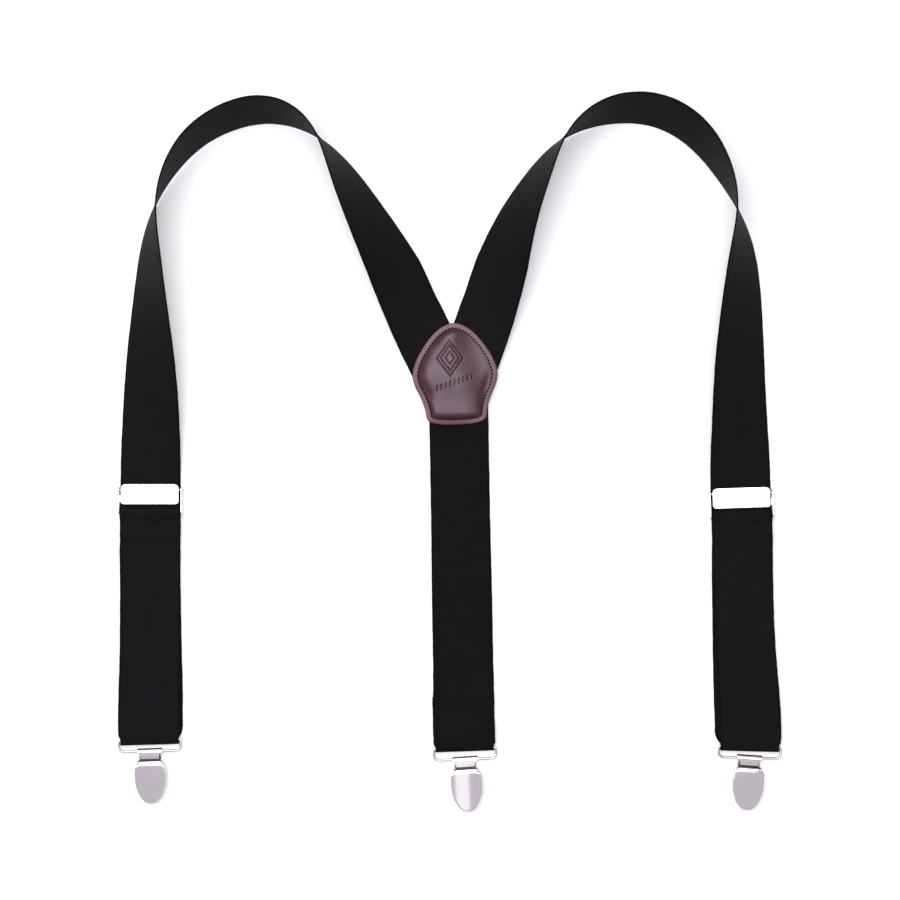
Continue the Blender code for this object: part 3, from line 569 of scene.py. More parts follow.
def webbing_piece(name, centres, sides, normals, halves, start_v=0.0):
    """Webbing through stations in world mm; v counts mm along it."""
    x, z = webbing_section()
    x_all = np.concatenate([x, x[-2:0:-1]])
    z_all = np.concatenate([z, -z[-2:0:-1]])
    count = len(x_all)
    centres, sides, normals = (np.array(v, float) for v in (centres, sides, normals))
    lengths = run_along(centres)
    v = lengths + start_v
    halves = np.array(halves) + sum(size * np.sin(v * rate + phase)
                                    for size, rate, phase in EDGE_RIPPLES)
    share = x_all / STRAP_HALF
    points = (centres[:, None] + sides[:, None] * (halves[:, None] * share)[:, :, None]
              + normals[:, None] * (z_all * STRAP_THICK)[None, :, None])
    rows = len(centres)
    faces = [(i * count + j, i * count + (j + 1) % count, (i + 1) * count + (j + 1) % count,
              (i + 1) * count + j) for i in range(rows - 1) for j in range(count)]
    faces = [tuple(reversed(face)) for face in faces]
    faces.append(tuple(range(count)))
    faces.append(tuple(reversed(range((rows - 1) * count, rows * count))))
    piece = mesh_piece(name, points.reshape(-1, 3), faces, Matrix.Identity(4), WEBBING, 60)
    quads = (rows - 1) * count
    i, j = np.divmod(np.arange(quads), count)
    start_u = np.where(j < len(x) - 1, 0.0, BACK_U)
    left, right = (start_u + x_all[k] + STRAP_HALF for k in (j, (j + 1) % count))
    # Faces are reversed, so a quad's corners run (i+1, j), (i+1, j+1), (i, j+1), (i, j).
    corners = [np.stack([u, v[row]], 1)
               for u, row in ((left, i + 1), (right, i + 1), (right, i), (left, i))]
    coords = np.full((len(piece.data.loops), 2), END_UV)
    coords[:quads * 4] = np.stack(corners, 1).reshape(-1, 2)
    layer = piece.data.uv_layers.new(name="weave")
    layer.data.foreach_set("uv", coords.astype(np.float32).reshape(-1))
    return piece, float(lengths[-1])


def straight_webbing(name, stations, frame, start_v=0.0):
    """Webbing across x of a frame, through (x, y, z, half width) stations."""
    local = np.array(stations, float)[:, :3]
    tangent = np.gradient(local, axis=0)
    normals = unit(np.stack([np.zeros(len(local)), -tangent[:, 2], tangent[:, 1]], 1))
    world = np.array(frame)
    turn = world[:3, :3]
    centres = local @ turn.T + world[:3, 3] / MM
    sides = np.tile(turn @ np.array([1.0, 0, 0]), (len(local), 1))
    return webbing_piece(name, centres, -sides, -normals @ turn.T,
                         [station[3] for station in stations], start_v)


def fold_front_level(y):
    rise = smooth_step((FOLD_REACH - y) / (FOLD_REACH - 2.0))
    return FRONT_LEVEL + (BAR_LEVEL + FOLD_RADIUS - FRONT_LEVEL) * rise


def fold_half_width(y):
    """Half width above a bar: nipped at it, bulging over it, then even."""
    return (FOLD_HALF + FOLD_BULGE * smooth_step((y - 0.8) / 2.4)
            - LEG_GAIN * smooth_step((y - 10) / 45))


def shoulder_strap(side, route, hand):
    """One strap from inside its slider, round the loop, to under the patch."""
    slider = SLIDERS[side]
    back = TABLE.inverted()
    keys = []
    for y in (PASS_TOP, PASS_TOP + 5.3, PASS_TOP + 10.3):
        point = back @ (at(slider, 0, y) * MM) / MM
        keys.append((point.x, point.y, 0.0, 0.0))
    line = eased(catmull_rom((*keys, *route), 2.0), 7)
    tilt = np.radians(np.maximum(line[:, 2], 0.0))
    level = (STRAP_HALF * np.sin(tilt) + STRAP_THICK / 2 * np.abs(np.cos(tilt))
             + np.maximum(line[:, 3], 0.0))
    centres = np.stack([line[:, 0] + SHIFT.x, line[:, 1] + SHIFT.y, level], 1)
    heading = unit(np.gradient(line[:, :2], axis=0))
    inward = np.stack([heading[:, 1], -heading[:, 0]], 1) * hand
    across = np.column_stack([inward * np.cos(tilt)[:, None], np.sin(tilt)])
    steps = np.linalg.norm(np.diff(line[:, :2], axis=0), axis=1)
    left_over = np.append(np.cumsum(steps[::-1])[::-1], 0.0)
    gathered = smooth_step((GATHER_REACH - left_over) / GATHER_EASE)
    lost, moved = GATHER[side]
    centres[:, :2] += inward * (moved * gathered)[:, None]
    halves = STRAP_HALF - lost * gathered
    normals = unit(np.cross(across, unit(np.gradient(centres, axis=0))) * hand)

    passing = catmull_rom(PASS_ROUTE, 0.8)[::-1]
    local = np.array([(0.0, y, z) for y, z in passing])[:-1]
    slope = unit(np.gradient(local, axis=0))
    world = np.array(slider)
    turn = world[:3, :3]
    pass_centres = local @ turn.T + world[:3, 3] / MM
    pass_across = np.tile(turn @ np.array([float(hand), 0, 0]), (len(local), 1))
    pass_normals = np.stack([np.zeros(len(local)), -slope[:, 2], slope[:, 1]], 1) @ turn.T

    centres = np.vstack([pass_centres, centres])
    across = np.vstack([pass_across, across])
    normals = np.vstack([pass_normals, normals])
    halves = [STRAP_HALF] * len(local) + list(halves)
    piece, length = webbing_piece(f"{side}_strap_webbing", centres, across * -hand, normals,
                                  halves)
    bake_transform(piece)
    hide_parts(f"{side}_strap", f"{side}_strap_pass")


def back_strap():
    """The back strap, folded round its ring, its end sewn back behind."""
    bar = BARS["back"]
    origin = at(bar, 0, 0)
    turn = np.array(bar)[:3, :3]
    down_side = turn @ np.array([1.0, 0, 0])
    top = np.array([BACK_TOP_X + SHIFT.x, BACK_TOP[0][0] + SHIFT.y])
    slope = (origin.x - top[0]) / (origin.y - top[1])
    top_side = np.array([1.0, -slope, 0.0])
    top_side /= np.linalg.norm(top_side)
    centres, sides, halves = [], [], []

    def add(x, y, z, side, half):
        centres.append((x, y, z))
        sides.append(side / np.linalg.norm(side))
        halves.append(half)

    for y, z in catmull_rom(BACK_TOP, 2.0):
        world_y = y + SHIFT.y
        add(top[0] + slope * (world_y - top[1]), world_y, z, top_side,
            STRAP_HALF - BACK_NARROWER)
    reach = BACK_TOP[-1][0] + SHIFT.y - origin.y
    for y in [*np.arange(reach - 2.5, 8.0, -2.5), *np.arange(8.0, 0.2, -0.8)]:
        rise = smooth_step((BACK_FLAP + 12 - y) / 10)
        level = REAR_LEVEL + (fold_front_level(y) - REAR_LEVEL) * rise
        near = float(smooth_step((40 - y) / 30))
        straight = np.array([top[0] + slope * (origin.y + y - top[1]), origin.y + y])
        turned = np.array(at(bar, 0, y))[:2]
        spot = straight * (1 - near) + turned * near
        add(spot[0], spot[1], level, top_side * (1 - near) + down_side * near,
            float(fold_half_width(y)) - BACK_NARROWER * float(smooth_step((y - 80) / 60)))
    for y, z in arc((0, BAR_LEVEL), FOLD_RADIUS, 90, 270, 14):
        point = at(bar, 0, y, z)
        add(point.x, point.y, point.z, down_side, FOLD_HALF)
    for y in np.arange(1.5, BACK_FLAP + 0.1, 1.5):
        point = at(bar, 0, y, REAR_LEVEL)
        add(point.x, point.y, point.z, down_side, fold_half_width(y))
    centres, sides = np.array(centres), np.array(sides)
    normals = -unit(np.cross(unit(np.gradient(centres, axis=0)), sides))
    piece, length = webbing_piece("back_strap_webbing", centres, -sides, normals, halves)
    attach(piece, "root")
    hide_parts("back_strap")


def front_leg(side):
    """The doubled end of a front strap: run, fold, tail and tail loop."""
    slider, bar = SLIDERS[side], BARS[side]
    bar_side = np.array(bar)[:3, :3] @ np.array([1.0, 0, 0])
    slider_side = np.array(slider)[:3, :3] @ np.array([1.0, 0, 0])
    anchor = stop = at(bar, 0, FOLD_LENGTH)
    for layer, top_y in (("run", PASS_LOW), ("tail", TAIL_LOOP_LOW)):
        start = at(slider, 0, top_y)
        length = (start - stop).length
        centres, sides, halves = [], [], []
        shares, offsets = zip(*SIDEWAYS[f"{side}_{layer}"])
        for t in np.linspace(0, 1, 48):
            y = FOLD_LENGTH + length * (1 - t)
            level = fold_front_level(y) if layer == "run" else REAR_LEVEL
            aside = float(np.interp(t, shares, offsets))
            mid = start.lerp(stop, t)
            turn = float(smooth_step(t))
            across = slider_side * (1 - turn) + bar_side * turn
            across /= np.linalg.norm(across)
            centres.append(np.array([mid.x, mid.y, level]) + across * aside)
            sides.append(across)
            halves.append(fold_half_width(y))
        centres, sides = eased(np.array(centres), 2), np.array(sides)
        normals = -unit(np.cross(sides, unit(np.gradient(centres, axis=0))))
        piece, measured = webbing_piece(f"{side}_{layer}_webbing", centres, -sides, normals,
                                        halves, 40.0)
        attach(piece, f"{side}_carriage")
        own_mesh(piece)
        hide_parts(f"{side}_strap_{layer}")

    slip = SIDEWAYS[f"{side}_tail"][-1][1]
    heights = np.linspace(FOLD_LENGTH, -FOLD_SAG, 18)
    stations = [(0.0, y, float(fold_front_level(y)), float(fold_half_width(y))) for y in heights]
    stations += [(0.0, y, z, FOLD_HALF)
                 for y, z in arc((-FOLD_SAG, BAR_LEVEL), FOLD_RADIUS, 90, 270, 14)[1:]]
    stations += [(slip * float(smooth_step((y - 0.8) / 7)), y, REAR_LEVEL,
                  float(fold_half_width(y))) for y in heights[::-1][1:]]
    fold, length = straight_webbing(f"{side}_fold_webbing", stations, bar)
    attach(fold, f"{side}_carriage")
    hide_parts(f"{side}_strap_fold")

    stations = [(0.0, y, REAR_LEVEL, STRAP_HALF) for y in np.linspace(TAIL_LOOP_LOW, -11.0, 9)]
    turned = [*arc((CROSSBAR_Y, BAR_LEVEL), FOLD_RADIUS, -90, 90, 14),
              *catmull_rom(FLAP_ROUTE, 0.9)[1:]]
    stations += [(0.0, y, z, STRAP_HALF) for y, z in turned]
    loop, length = straight_webbing(f"{side}_tail_loop_webbing", stations, slider)
    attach(loop, f"{side}_slider")
    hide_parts(f"{side}_tail_loop")


# --- patch ---------------------------------------------------------------------------
def patch_outline(count):
    """The patch's outline, anticlockwise, smooth through PATCH_HALF and its mirror."""
    ring = np.array([*PATCH_HALF, *((-x, y) for x, y in reversed(PATCH_HALF[1:-1]))])[::-1]
    before, after, beyond = (np.roll(ring, k, axis=0) for k in (1, -1, -2))
    return evenly(np.vstack(smooth_spans(before, ring, after, beyond, 12)), count)


def distance_to_outline(points, outline):
    """Distance from each point to the nearest outline segment."""
    a = outline[None]
    b = np.roll(outline, -1, axis=0)[None]
    ab = b - a
    best = np.full(len(points), 1e9)
    for first in range(0, len(points), 2000):
        p = points[first:first + 2000, None]
        t = np.clip(((p - a) * ab).sum(2) / (ab * ab).sum(2), 0, 1)
        near = np.linalg.norm(p - (a + ab * t[:, :, None]), axis=2).min(1)
        best[first:first + 2000] = near
    return best


def inside_outline(points, outline):
    crossings = np.zeros(len(points), int)
    for (ax, ay), (bx, by) in zip(outline, np.roll(outline, -1, axis=0)):
        spans = (ay > points[:, 1]) != (by > points[:, 1])
        rise = by - ay if by != ay else 1.0
        crossings += spans & (points[:, 0] < ax + (points[:, 1] - ay) * (bx - ax) / rise)
    return crossings % 2 == 1


def softened(grid, cells):
    """A grid blurred by a bell curve some cells wide, both ways."""
    reach = int(3 * cells) + 1
    weights = np.exp(-0.5 * (np.arange(-reach, reach + 1) / cells) ** 2)
    weights /= weights.sum()
    for axis in (0, 1):
        margin = [(reach, reach) if k == axis else (0, 0) for k in (0, 1)]
        grid = np.apply_along_axis(np.convolve, axis, np.pad(grid, margin, "edge"), weights,
                                   "valid")
    return grid


def strap_cover(points, tip, heading, spread=4.0):
    """1 where a point is over, or within spread of, a strap that ends at tip."""
    heading = np.array(heading) / np.linalg.norm(heading)
    offset = points - np.array(tip)
    along = -(offset @ heading)
    aside = np.abs(offset @ np.array([-heading[1], heading[0]]))
    return ((aside < STRAP_HALF + spread) & (along > -spread)).astype(float)


def patch_support(points):
    """Height of what lies under the front leather, in table coordinates."""
    level = np.full(len(points), 1.15)
    for route, top in ((LEFT_ROUTE, 2.3), (RIGHT_ROUTE, 3.5)):
        tip = np.array(route[-1][:2])
        cover = strap_cover(points, tip, tip - np.array(route[-3][:2]))
        level = np.maximum(level, 1.15 + (top - 1.15) * cover)
    ys, zs = np.array(BACK_TOP)[::-1].T
    back_top = (np.interp(points[:, 1], ys, zs) + STRAP_THICK / 2 + 0.1
                + 0.8 * smooth_step((34 - points[:, 1]) / 16))
    cover = strap_cover(points, (BACK_TOP_X, BACK_TOP[0][0]), (0.02, 1.0))
    return np.maximum(level, 1.15 + (back_top - 1.15) * cover)


class PatchForm:
    """The front leather's top surface over the patch's own x and y."""

    STEP = 0.5
    LOW = np.array([-27.0, -33.0])

    def __init__(self, outline):
        self.outline = outline
        xs = np.arange(self.LOW[0], -self.LOW[0] + 0.1, self.STEP)
        ys = np.arange(self.LOW[1], -self.LOW[1] + 0.1, self.STEP)
        points = np.stack(np.meshgrid(xs, ys, indexing="ij"), 2).reshape(-1, 2)
        turn = np.array(Matrix.Rotation(math.radians(PATCH_YAW), 2))
        support = patch_support(points @ turn.T + np.array(PATCH_CENTRE))
        inner = np.where(inside_outline(points, outline),
                         distance_to_outline(points, outline) - STITCH_INSET, 0.0)
        inner = np.maximum(inner, 0.0)
        x, y = points.T
        fall = smooth_step((x - np.interp(y, (-25, -10, 5, 20), (5, 2, -2, -5))) / 19)
        rise = 2.6 - 1.5 * smooth_step((-8 - y) / 10)
        pillow = 2.1 * (1 - np.exp(-inner / rise)) * (1 - 0.9 * fall)
        pillow += 0.5 * np.exp(-((x + 2.5) / 6.0) ** 2) * smooth_step((y - 6) / 12) * smooth_step(
            inner / 3)
        for crease_x, crease_y, angle, depth in CREASES:
            a = math.radians(angle)
            along = (x - crease_x) * math.cos(a) + (y - crease_y) * math.sin(a)
            aside = -(x - crease_x) * math.sin(a) + (y - crease_y) * math.cos(a)
            pillow -= depth * np.exp(-(along / 7.0) ** 2 - (aside / 1.8) ** 2) * smooth_step(
                inner / 2.5)
        shape = (len(xs), len(ys))
        self.grid = (softened(support.reshape(shape), 4.0 / self.STEP)
                     + softened(pillow.reshape(shape), 0.9 / self.STEP))

    def height(self, points):
        """Top height, distance from the edge and emblem depth at points."""
        place = (points - self.LOW) / self.STEP
        cell = np.clip(np.floor(place).astype(int), 0, np.array(self.grid.shape) - 2)
        u, v = (place - cell).T
        i, j = cell.T
        soft = (self.grid[i, j] * (1 - u) * (1 - v) + self.grid[i + 1, j] * u * (1 - v)
                + self.grid[i, j + 1] * (1 - u) * v + self.grid[i + 1, j + 1] * u * v)
        inset = distance_to_outline(points, self.outline)
        groove = 0.1 * np.exp(-((inset - STITCH_INSET) / 0.6) ** 2)
        roll = 0.08 * np.exp(-((inset - 1.4) / 1.0) ** 2)
        press = emblem_press(points)
        return soft + LEATHER - groove + roll - 0.36 * press, inset, press


def emblem_press(points):
    """Depth share of a plain pressed mark, 0 to 1: nested lozenges over a row of ticks."""
    x, y = points[:, 0] + 2.6, points[:, 1] - 8.6
    press = np.zeros(len(points))
    for scale, width in ((1.0, 0.4), (0.7, 0.34), (0.34, 0.34)):
        across, tall = 7.6 * scale, 10.4 * scale
        reach = (np.abs(x) / across + np.abs(y) / tall - 1) * across * tall / math.hypot(
            across, tall)
        press = np.maximum(press, np.exp(-(reach / width) ** 2))
    rise = math.radians(17)
    x, y = points[:, 0] + 0.4, points[:, 1] + 5.6
    along = x * math.cos(rise) + y * math.sin(rise)
    above = -x * math.sin(rise) + y * math.cos(rise)
    for i in range(-4, 5):
        lean = above * 0.35
        tick = np.hypot(along - 2.7 * i - lean, np.maximum(np.abs(above) - 1.1, 0.0))
        press = np.maximum(press, smooth_step((0.62 - tick) / 0.35))
    return press


def patch():
    frame = place_of(PATCH_CENTRE.x + SHIFT.x, PATCH_CENTRE.y + SHIFT.y,
                     math.radians(PATCH_YAW))
    outline = patch_outline(420)
    shares = np.concatenate([np.linspace(0.015, 0.84, 84), np.linspace(0.85, 0.985, 30)])
    grid = np.concatenate([outline * share for share in (*shares, 1.0)])
    form = PatchForm(outline)
    height, inset, press = form.height(grid)
    count = len(outline)
    rows = [(grid[k * count:(k + 1) * count], height[k * count:(k + 1) * count])
            for k in range(len(shares) + 1)]
    rim_top = rows[-1][1]
    rings = rows[:-1]
    for turn in EDGE_TURNS:
        a = math.radians(turn)
        out = 1.0 + 0.011 * math.sin(a) - 0.006
        rings.append((outline * out, rim_top - LEATHER / 2 + (LEATHER / 2) * math.cos(a) - 0.05))
    for k in range(len(shares) - 1, -1, -3):
        rings.append((rows[k][0], rows[k][1] - LEATHER))
    front = closed_rings("patch_front_leather", rings, frame, LEATHER_RED, flat_angle=60)
    rim, pressed, raw = np.zeros((3, len(front.data.vertices)))
    upper = len(shares) * count
    top = 1 + upper
    # rim marks where the leather gets its painted sheen: outside the stitch line and round the cut
    # edge.
    rim[1:top] = smooth_step((STITCH_INSET - 0.2 - inset[:upper]) / 0.7)
    rim[top:] = 1.0
    low_edge = smooth_step((-26.2 - grid[:, 1]) / 1.6) * smooth_step((11 - grid[:, 0]) / 8)
    raw[1:top] = (low_edge * smooth_step((2.3 - inset) / 0.8))[:upper]
    raw[top:] = 0.9
    pressed[1:top] = press[:upper]
    for name, values in (("rim", rim), ("press", pressed), ("raw", raw)):
        attribute(front, name, values)
    put([front], "root", "leather", "patch_front")

    back_rings = [(outline * share, np.full(count, 1.0)) for share in np.linspace(0.06, 0.98, 24)]
    for turn in EDGE_TURNS:
        a = math.radians(turn)
        back_rings.append((outline * (0.99 + 0.01 * math.sin(a)),
                           np.full(count, 0.5 + 0.5 * math.cos(a))))
    for share in np.linspace(0.98, 0.06, 24):
        depth = distance_to_outline(outline * share, outline)
        groove = 0.45 * np.exp(-((depth - STITCH_INSET) / 0.7) ** 2)
        back_rings.append((outline * share, groove))
    back = closed_rings("patch_back_leather", back_rings, frame, LEATHER_RED, flat_angle=60)
    for name in ("rim", "press", "raw"):
        attribute(back, name, np.zeros(len(back.data.vertices)))
    put([back], "root", "leather", "patch_back")
    patch_seam(form, frame)


def patch_seam(form, frame):
    """Single stitches round the patch, on its front and behind it."""
    outline = form.outline
    seam = outline + left_of(outline) * STITCH_INSET
    number = round(run_along(np.vstack([seam, seam[:1]]))[-1] / STITCH_PITCH)
    steps = 9
    line = evenly(seam, number * steps)
    height, _, _ = form.height(line)
    sides = 10
    for name, level in (("patch_seam", height), ("patch_seam_behind", None)):
        points, faces = [], []
        for stitch in range(number):
            span = np.arange(stitch * steps, stitch * steps + 6) % len(line)
            base = len(points)
            share = np.linspace(-1, 1, len(span))
            for k, index in enumerate(span):
                here = line[index]
                ahead = line[(index + 1) % len(line)] - line[index - 1]
                ahead /= np.linalg.norm(ahead)
                aside = np.array([-ahead[1], ahead[0]])
                swing = aside * 0.16 * share[k]
                radius = THREAD_RADIUS * math.sqrt(max(0.0, 1 - abs(share[k]) ** 5)) + 0.02
                dive = 0.34 * abs(share[k]) ** 6
                if level is None:
                    z = 0.3 + dive
                else:
                    z = level[index] + 0.25 - dive
                for s in range(sides):
                    a = 2 * math.pi * s / sides
                    off = aside * radius * math.cos(a)
                    points.append((here[0] + swing[0] + off[0], here[1] + swing[1] + off[1],
                                   z + radius * math.sin(a)))
            for k in range(len(span) - 1):
                for s in range(sides):
                    a, b = base + k * sides + s, base + k * sides + (s + 1) % sides
                    faces.append((a, b, b + sides, a + sides))
            faces.append(tuple(base + s for s in reversed(range(sides))))
            faces.append(tuple(base + (len(span) - 1) * sides + s for s in range(sides)))
        seam_piece = mesh_piece(name, points, faces, frame, THREAD)
        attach(seam_piece, "root")
        if level is not None:
            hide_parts("patch_thread")


# --- slider ---------------------------------------------------------------------------
def comb(low, high, base, tip, teeth):
    """Outline of a toothed edge from x low to x high, in x and z."""
    points = [(high, base), (low, base)]
    pitch = (high - low) / teeth
    for i in range(teeth):
        points += [(low + pitch * i, tip + 0.35), (low + pitch * (i + 0.5), tip)]
    return points + [(high, tip + 0.35)]


def slider(side):
    frame = SLIDERS[side]
    body = f"{side}_slider"
    wall = rounded_outline([(y, z, 1.1) for y, z in box_outline((-11.9, 0.2), (3.8, 4.6))], 6)
    walls = [plate_piece(f"{side}_slider_wall_{name}", wall, levels, frame, SATIN, "X", 0.2)
             for name, levels in (("right", (17.8, 18.5)), ("left", (-18.5, -17.8)))]
    anvil = plate_piece(f"{side}_slider_anvil", box_outline((-18.0, -5.0), (18.0, -1.0)),
                        (0.02, 0.7), frame, BRIGHT, "Z", 0.15)
    bar = turned_piece(f"{side}_slider_crossbar", [(-18.2, 0.7), (18.2, 0.7)], CROSSBAR_Y,
                       BAR_LEVEL, frame, WIRE)
    put([*walls, anvil, bar], body, "slider_metal", f"{side}_adjuster_frame")
    rod = turned_piece(f"{side}_slider_rod", pin_profile(19.0, 0.45, 0.85, 0.5), ROD_Y, ROD_Z,
                       frame, WIRE)
    put([rod], body, "slider_metal", f"{side}_adjuster_rod")

    corners = [(-16.75, -6.15, 1.7), (16.75, -6.15, 1.7), (16.75, 5.4, 2.9), (-16.75, 5.4, 2.9)]
    outline = evenly(rounded_outline(corners, 8), 160)
    centre = np.array([0.0, -0.4])
    rings = []

    def crowned(xy):
        return COVER_TOP + COVER_CROWN * (1 - ((xy[:, 1] + 0.3) / 6.0) ** 2)

    for share in (0.1, 0.3, 0.5, 0.7, 0.84, 0.93, 0.97):
        xy = centre + (outline - centre) * share
        rings.append((xy, crowned(xy)))
    for angle in range(15, 181, 15):
        a = math.radians(angle)
        out = 1 - 0.012 + 0.012 * math.sin(a)
        xy = centre + (outline - centre) * out
        rings.append((xy, crowned(xy) - COVER_ROUND + COVER_ROUND * math.cos(a)))
    for share in (0.9, 0.5, 0.1):
        rings.append((centre + (outline - centre) * share, np.full(len(outline), 4.3)))
    cover = closed_rings(f"{side}_slider_cover", rings, frame, BRIGHT, centre)
    flange = rounded_outline([(y, z, 0.9) for y, z in box_outline((0.3, 2.65), (4.1, 4.6))], 5)
    flanges = [plate_piece(f"{side}_cover_flange_{name}", flange, levels, frame, BRIGHT, "X", 0.12)
               for name, levels in (("right", (15.8, 16.5)), ("left", (-16.5, -15.8)))]
    teeth = plate_piece(f"{side}_cover_teeth",
                        [(z, x) for x, z in comb(-15.5, 15.5, 4.5, 2.15, 26)],
                        (-2.2, -1.5), frame, BRIGHT, "Y", 0.05)
    put([cover, *flanges, teeth], f"{side}_slider_lever", "slider_metal",
        f"{side}_adjuster_lever")


# --- ring and clip ----------------------------------------------------------------------
def ring(side):
    """Round wire bent to a rectangle. The seam between its ends isn't shown."""
    low = -RING_DROP
    corners = [(-RING_HALF, 0, 1.0), (RING_HALF, 0, 1.0), (RING_HALF, low, 3.6),
               (-RING_HALF, low, 3.6)]
    line = evenly(rounded_outline(corners, 10), 180)
    if np.cross(line[0], line[5]) > 0:
        line = line[::-1]
    sides = 20
    points = []
    for (x, y), (ax, ay) in zip(line, left_of(line)):
        for s in range(sides):
            a = 2 * math.pi * s / sides
            points.append((x + ax * WIRE_RADIUS * math.cos(a), y + ay * WIRE_RADIUS * math.cos(a),
                           BAR_LEVEL + WIRE_RADIUS * math.sin(a)))
    count = len(line)
    faces = [(i * sides + s, i * sides + (s + 1) % sides, (i + 1) % count * sides + (s + 1) % sides,
              (i + 1) % count * sides + s) for i in range(count) for s in range(sides)]
    wire = mesh_piece(f"{side}_ring_wire", points, faces, BARS[side], WIRE)
    put([wire], f"{side}_ring", "wire", f"{side}_ring")


def clip_base(side):
    frame = CLIPS[side]
    roll = 1.45
    top, low = BAR_LEVEL + roll, BAR_LEVEL - roll
    stations = [(-4.25, top - 0.05, 5.3), (-3.4, top, 5.4), (-1.9, top, 5.5), (-1.4, top, 6.0),
                (-1.0, top, 6.9), (-0.6, top, 7.2)]
    stations += [(y, z, 7.25) for y, z in arc((0, BAR_LEVEL), roll, 90, -90, 16)]
    stations += [(-1.6, low, 6.9), (-2.2, low, 6.6), (-4.0, low, 6.5), (-9.0, low, 6.5),
                 (-10.2, low, 7.0), (-14.0, low, 7.1), (-20.0, low, 7.1), (-24.3, low, 6.9),
                 (-26.2, low, 6.2),
                 (-27.0, low + 0.02, 5.6), (-27.4, low + 0.35, 5.3), (-27.5, 1.1, 5.2),
                 (-27.5, 1.5, 5.1)]
    base = sheet_piece(f"{side}_clip_back", stations, 0.78, frame, SATIN, 6, 0.14)
    ear = [(PIN_Y + 2.1, 0.4), *arc((PIN_Y, PIN_Z), 1.55, 0, 180, 14), (PIN_Y - 2.1, 0.4)]
    ears = [plate_piece(f"{side}_clip_ear_{name}", ear, levels, frame, SATIN, "X", 0.14)
            for name, levels in (("right", (6.25, 6.85)), ("left", (-6.85, -6.25)))]
    put([base, *ears], f"{side}_clip", "clip_metal", f"{side}_clip_base")
    pin = turned_piece(f"{side}_clip_hinge_pin", pin_profile(7.55, 0.62, 1.1, 0.6), PIN_Y, PIN_Z,
                       frame, WIRE)
    put([pin], f"{side}_clip", "wire", f"{side}_clip_pin")
    ribs = []
    for i in range(85):
        y = -25.4 + 12.2 * i / 84
        ribs.append((y, 1.03 + 0.13 * math.cos(2 * math.pi * i / 12), 4.9))
    pad = sheet_piece(f"{side}_clip_pad", ribs, 0.26, frame, RUBBER, 2, 0.04)
    put([pad], f"{side}_clip", "grip_pad", f"{side}_clip_grip")


def clip_jaw(side):
    frame = CLIPS[side]
    stations = [(-2.6, 1.85, 5.5), (JAW_PIVOT_Y, 1.85, 5.9)]
    for y in np.linspace(-3.6, -25.2, 24):
        bow = 0.1 * math.sin(math.pi * (y + 3.6) / -21.6)
        half = 6.0 - 1.25 * float(smooth_step((-23.0 - y) / 3.0))
        stations.append((float(y), 1.85 - bow, half))
    stations += [(-26.0, 1.82, 4.7), (-26.25, 1.5, 4.6)]
    jaw = sheet_piece(f"{side}_clip_tongue", stations, 0.6, frame, SPRING, 6, 0.1)
    teeth = plate_piece(f"{side}_clip_teeth", [(z, x) for x, z in comb(-4.6, 4.6, 1.75, 1.0, 8)],
                        (-26.5, -25.95), frame, SPRING, "Y", 0.05)
    put([jaw, teeth], f"{side}_clip_jaw", "clip_metal", f"{side}_clip_jaw")


def paddle_top(x, y):
    """Height of the paddle's face: faintly crowned, dropping a little to its neck."""
    return 5.2 - x ** 2 / 660 - 0.14 * np.clip((y + 8.0) / 2.7, 0, 1) ** 2


def clip_lever(side):
    frame = CLIPS[side]
    half = [(6.0, -5.4), (6.05, -6.3), (7.4, -7.0), (8.5, -7.9)]
    half += [tuple(point) for point in catmull_rom(PADDLE_SIDE, 0.5)]
    outline = evenly([(-x, y) for x, y in half] + [(x, y) for x, y in reversed(half[:-1])], 190)
    centre = np.array([0.0, -18.2])
    arms = outline - centre
    rings = []

    def top_ring(share, drop=0.0):
        xy = centre + arms * share
        rings.append((xy, paddle_top(xy[:, 0], xy[:, 1]) - drop))

    for share in np.linspace(0.05, 0.94, 18):
        top_ring(share)
    for angle in range(10, 91, 10):
        a = math.radians(angle)
        top_ring(0.945 + 0.055 * math.sin(a), 0.62 * (1 - math.cos(a)))
    rim_low = np.full(len(outline), 3.42)
    rings.append((outline, rim_low + 0.1))
    rings.append((centre + arms * 0.985, rim_low))
    rings.append((centre + arms * 0.955, rim_low + 0.06))
    for share, under in ((0.945, 1.0), (0.9, 0.62), (0.7, 0.55), (0.4, 0.55), (0.05, 0.55)):
        xy = centre + arms * share
        rings.append((xy, np.maximum(paddle_top(xy[:, 0], xy[:, 1]) - under, 3.5)))
    paddle = closed_rings(f"{side}_clip_paddle", rings, frame, SATIN, centre)
    stations = [(-9.6, 4.6, 5.7), (-8.6, 4.62, 5.75), (-7.6, 4.7, 5.8)]
    stations += [(y, z, 5.8) for y, z in arc((PIN_Y, PIN_Z), 1.02, 95, -120, 20)]
    neck = sheet_piece(f"{side}_clip_neck", stations, 0.45, frame, BRIGHT, 4, 0.1)
    cam = [(PIN_Y + (1.05 + 0.5 * max(0.0, -math.sin(a)) ** 6) * math.cos(a),
            PIN_Z + (1.05 + 0.5 * max(0.0, -math.sin(a)) ** 6) * math.sin(a))
           for a in np.linspace(0, 2 * math.pi, 40, endpoint=False)]
    cams = [plate_piece(f"{side}_clip_cam_{name}", cam, levels, frame, SATIN, "X", 0.08)
            for name, levels in (("right", (4.3, 4.85)), ("left", (-4.85, -4.3)))]
    put([paddle, neck, *cams], f"{side}_clip_lever", "clip_metal", f"{side}_clip_lever")


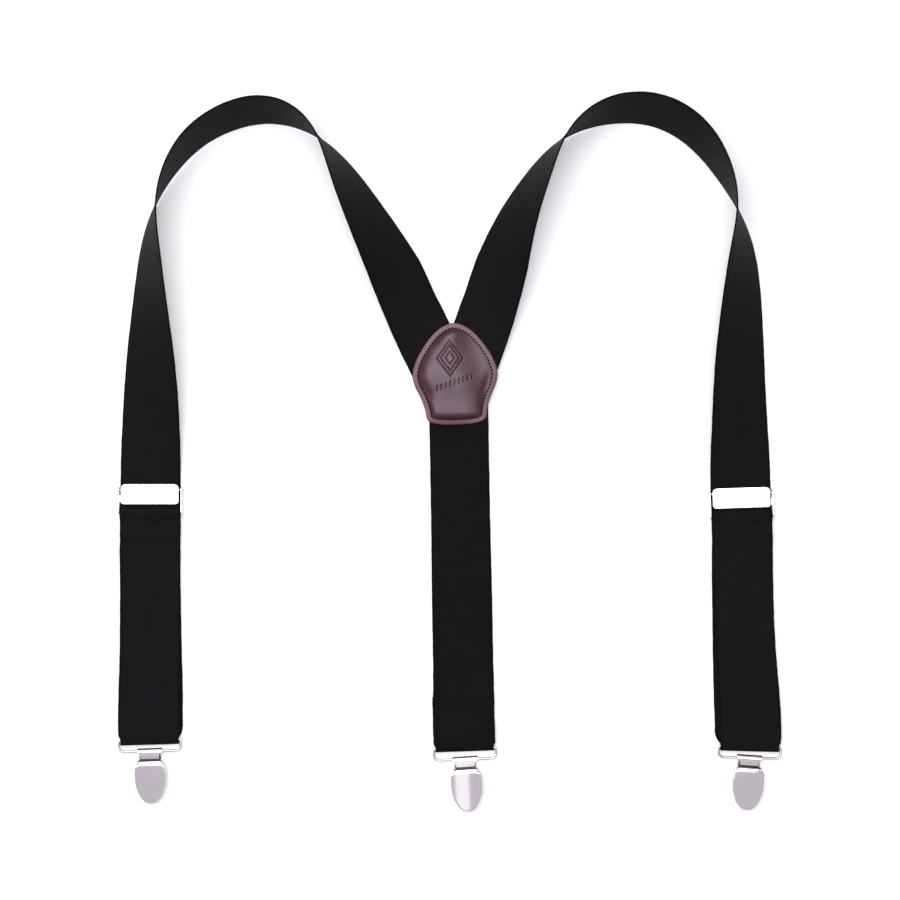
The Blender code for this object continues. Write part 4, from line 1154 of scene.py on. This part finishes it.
# --- studio -----------------------------------------------------------------------------
def studio():
    """White table, a large soft light up and to the left, a pale grey room."""
    bpy.ops.mesh.primitive_plane_add(size=8.0, location=(0, 0, -0.0002))
    floor = bpy.context.object
    floor.name = "floor"
    n = Nodes("table_white")
    place = n.node("ShaderNodeTexCoord").outputs["Object"]
    tone = n.ramp(n.noise(place, 3.0), ((0.2, (0.93, 0.93, 0.945)), (0.8, (0.95, 0.95, 0.96))))
    floor.data.materials.append(n.principled(Base_Color=tone, Roughness=0.9,
                                             Specular_IOR_Level=0.1, Emission_Color=tone,
                                             Emission_Strength=0.22))

    world = bpy.data.worlds.new("room")
    bpy.context.scene.world = world
    world.use_nodes = True
    tree = world.node_tree
    view = tree.nodes.new("ShaderNodeTexCoord")
    lean = tree.nodes.new("ShaderNodeVectorMath")
    lean.operation = "DOT_PRODUCT"
    lean.inputs[1].default_value = (-0.22, 0.1, 0.97)
    tree.links.new(view.outputs["Generated"], lean.inputs[0])
    tone = tree.nodes.new("ShaderNodeValToRGB")
    tree.links.new(lean.outputs["Value"], tone.inputs["Fac"])
    set_stops(tone.color_ramp, (
        (0.0, (0.5, 0.5, 0.52)), (0.12, (0.05, 0.05, 0.055)), (0.34, (0.11, 0.105, 0.115)),
        (0.5, (0.45, 0.43, 0.47)), (0.8, (0.68, 0.65, 0.7))))
    background = tree.nodes["Background"]
    tree.links.new(tone.outputs["Color"], background.inputs["Color"])
    background.inputs["Strength"].default_value = 1.0

    # Both lights look straight down: place and size in metres, then radiance.
    for name, place, size, radiance in (
            ("softbox", (-0.395, 0.53, 1.9), (1.71, 1.82), 3.4),
            ("strip", (-0.012, -0.58, 1.9), (0.11, 0.54), 0.57)):
        light = bpy.data.lights.new(name, "AREA")
        light.shape = "RECTANGLE"
        light.size, light.size_y = size
        light.energy = radiance * math.pi * size[0] * size[1]
        lamp = bpy.data.objects.new(name, light)
        bpy.context.scene.collection.objects.link(lamp)
        lamp.location = place
        aim = Vector((0, 0, -place[2]))
        lamp.rotation_euler = aim.to_track_quat("-Z", "Y").to_euler()

    camera = bpy.data.cameras.new("camera")
    camera.sensor_width = 36.0
    camera.lens = camera.sensor_width * CAMERA_HEIGHT / CAMERA_FIELD
    camera.clip_start, camera.clip_end = 0.01, 20
    eye = bpy.data.objects.new("camera", camera)
    bpy.context.scene.collection.objects.link(eye)
    eye.location = (SHIFT.x * MM, SHIFT.y * MM, CAMERA_HEIGHT)
    bpy.context.scene.camera = eye
    bpy.context.scene.view_settings.view_transform = "Standard"


studio()
shoulder_strap("left", LEFT_ROUTE, 1)
shoulder_strap("right", RIGHT_ROUTE, -1)
back_strap()
patch()
for SIDE in SLIDERS:
    slider(SIDE)
    front_leg(SIDE)
for SIDE in BARS:
    ring(SIDE)
    clip_base(SIDE)
    clip_jaw(SIDE)
    clip_lever(SIDE)
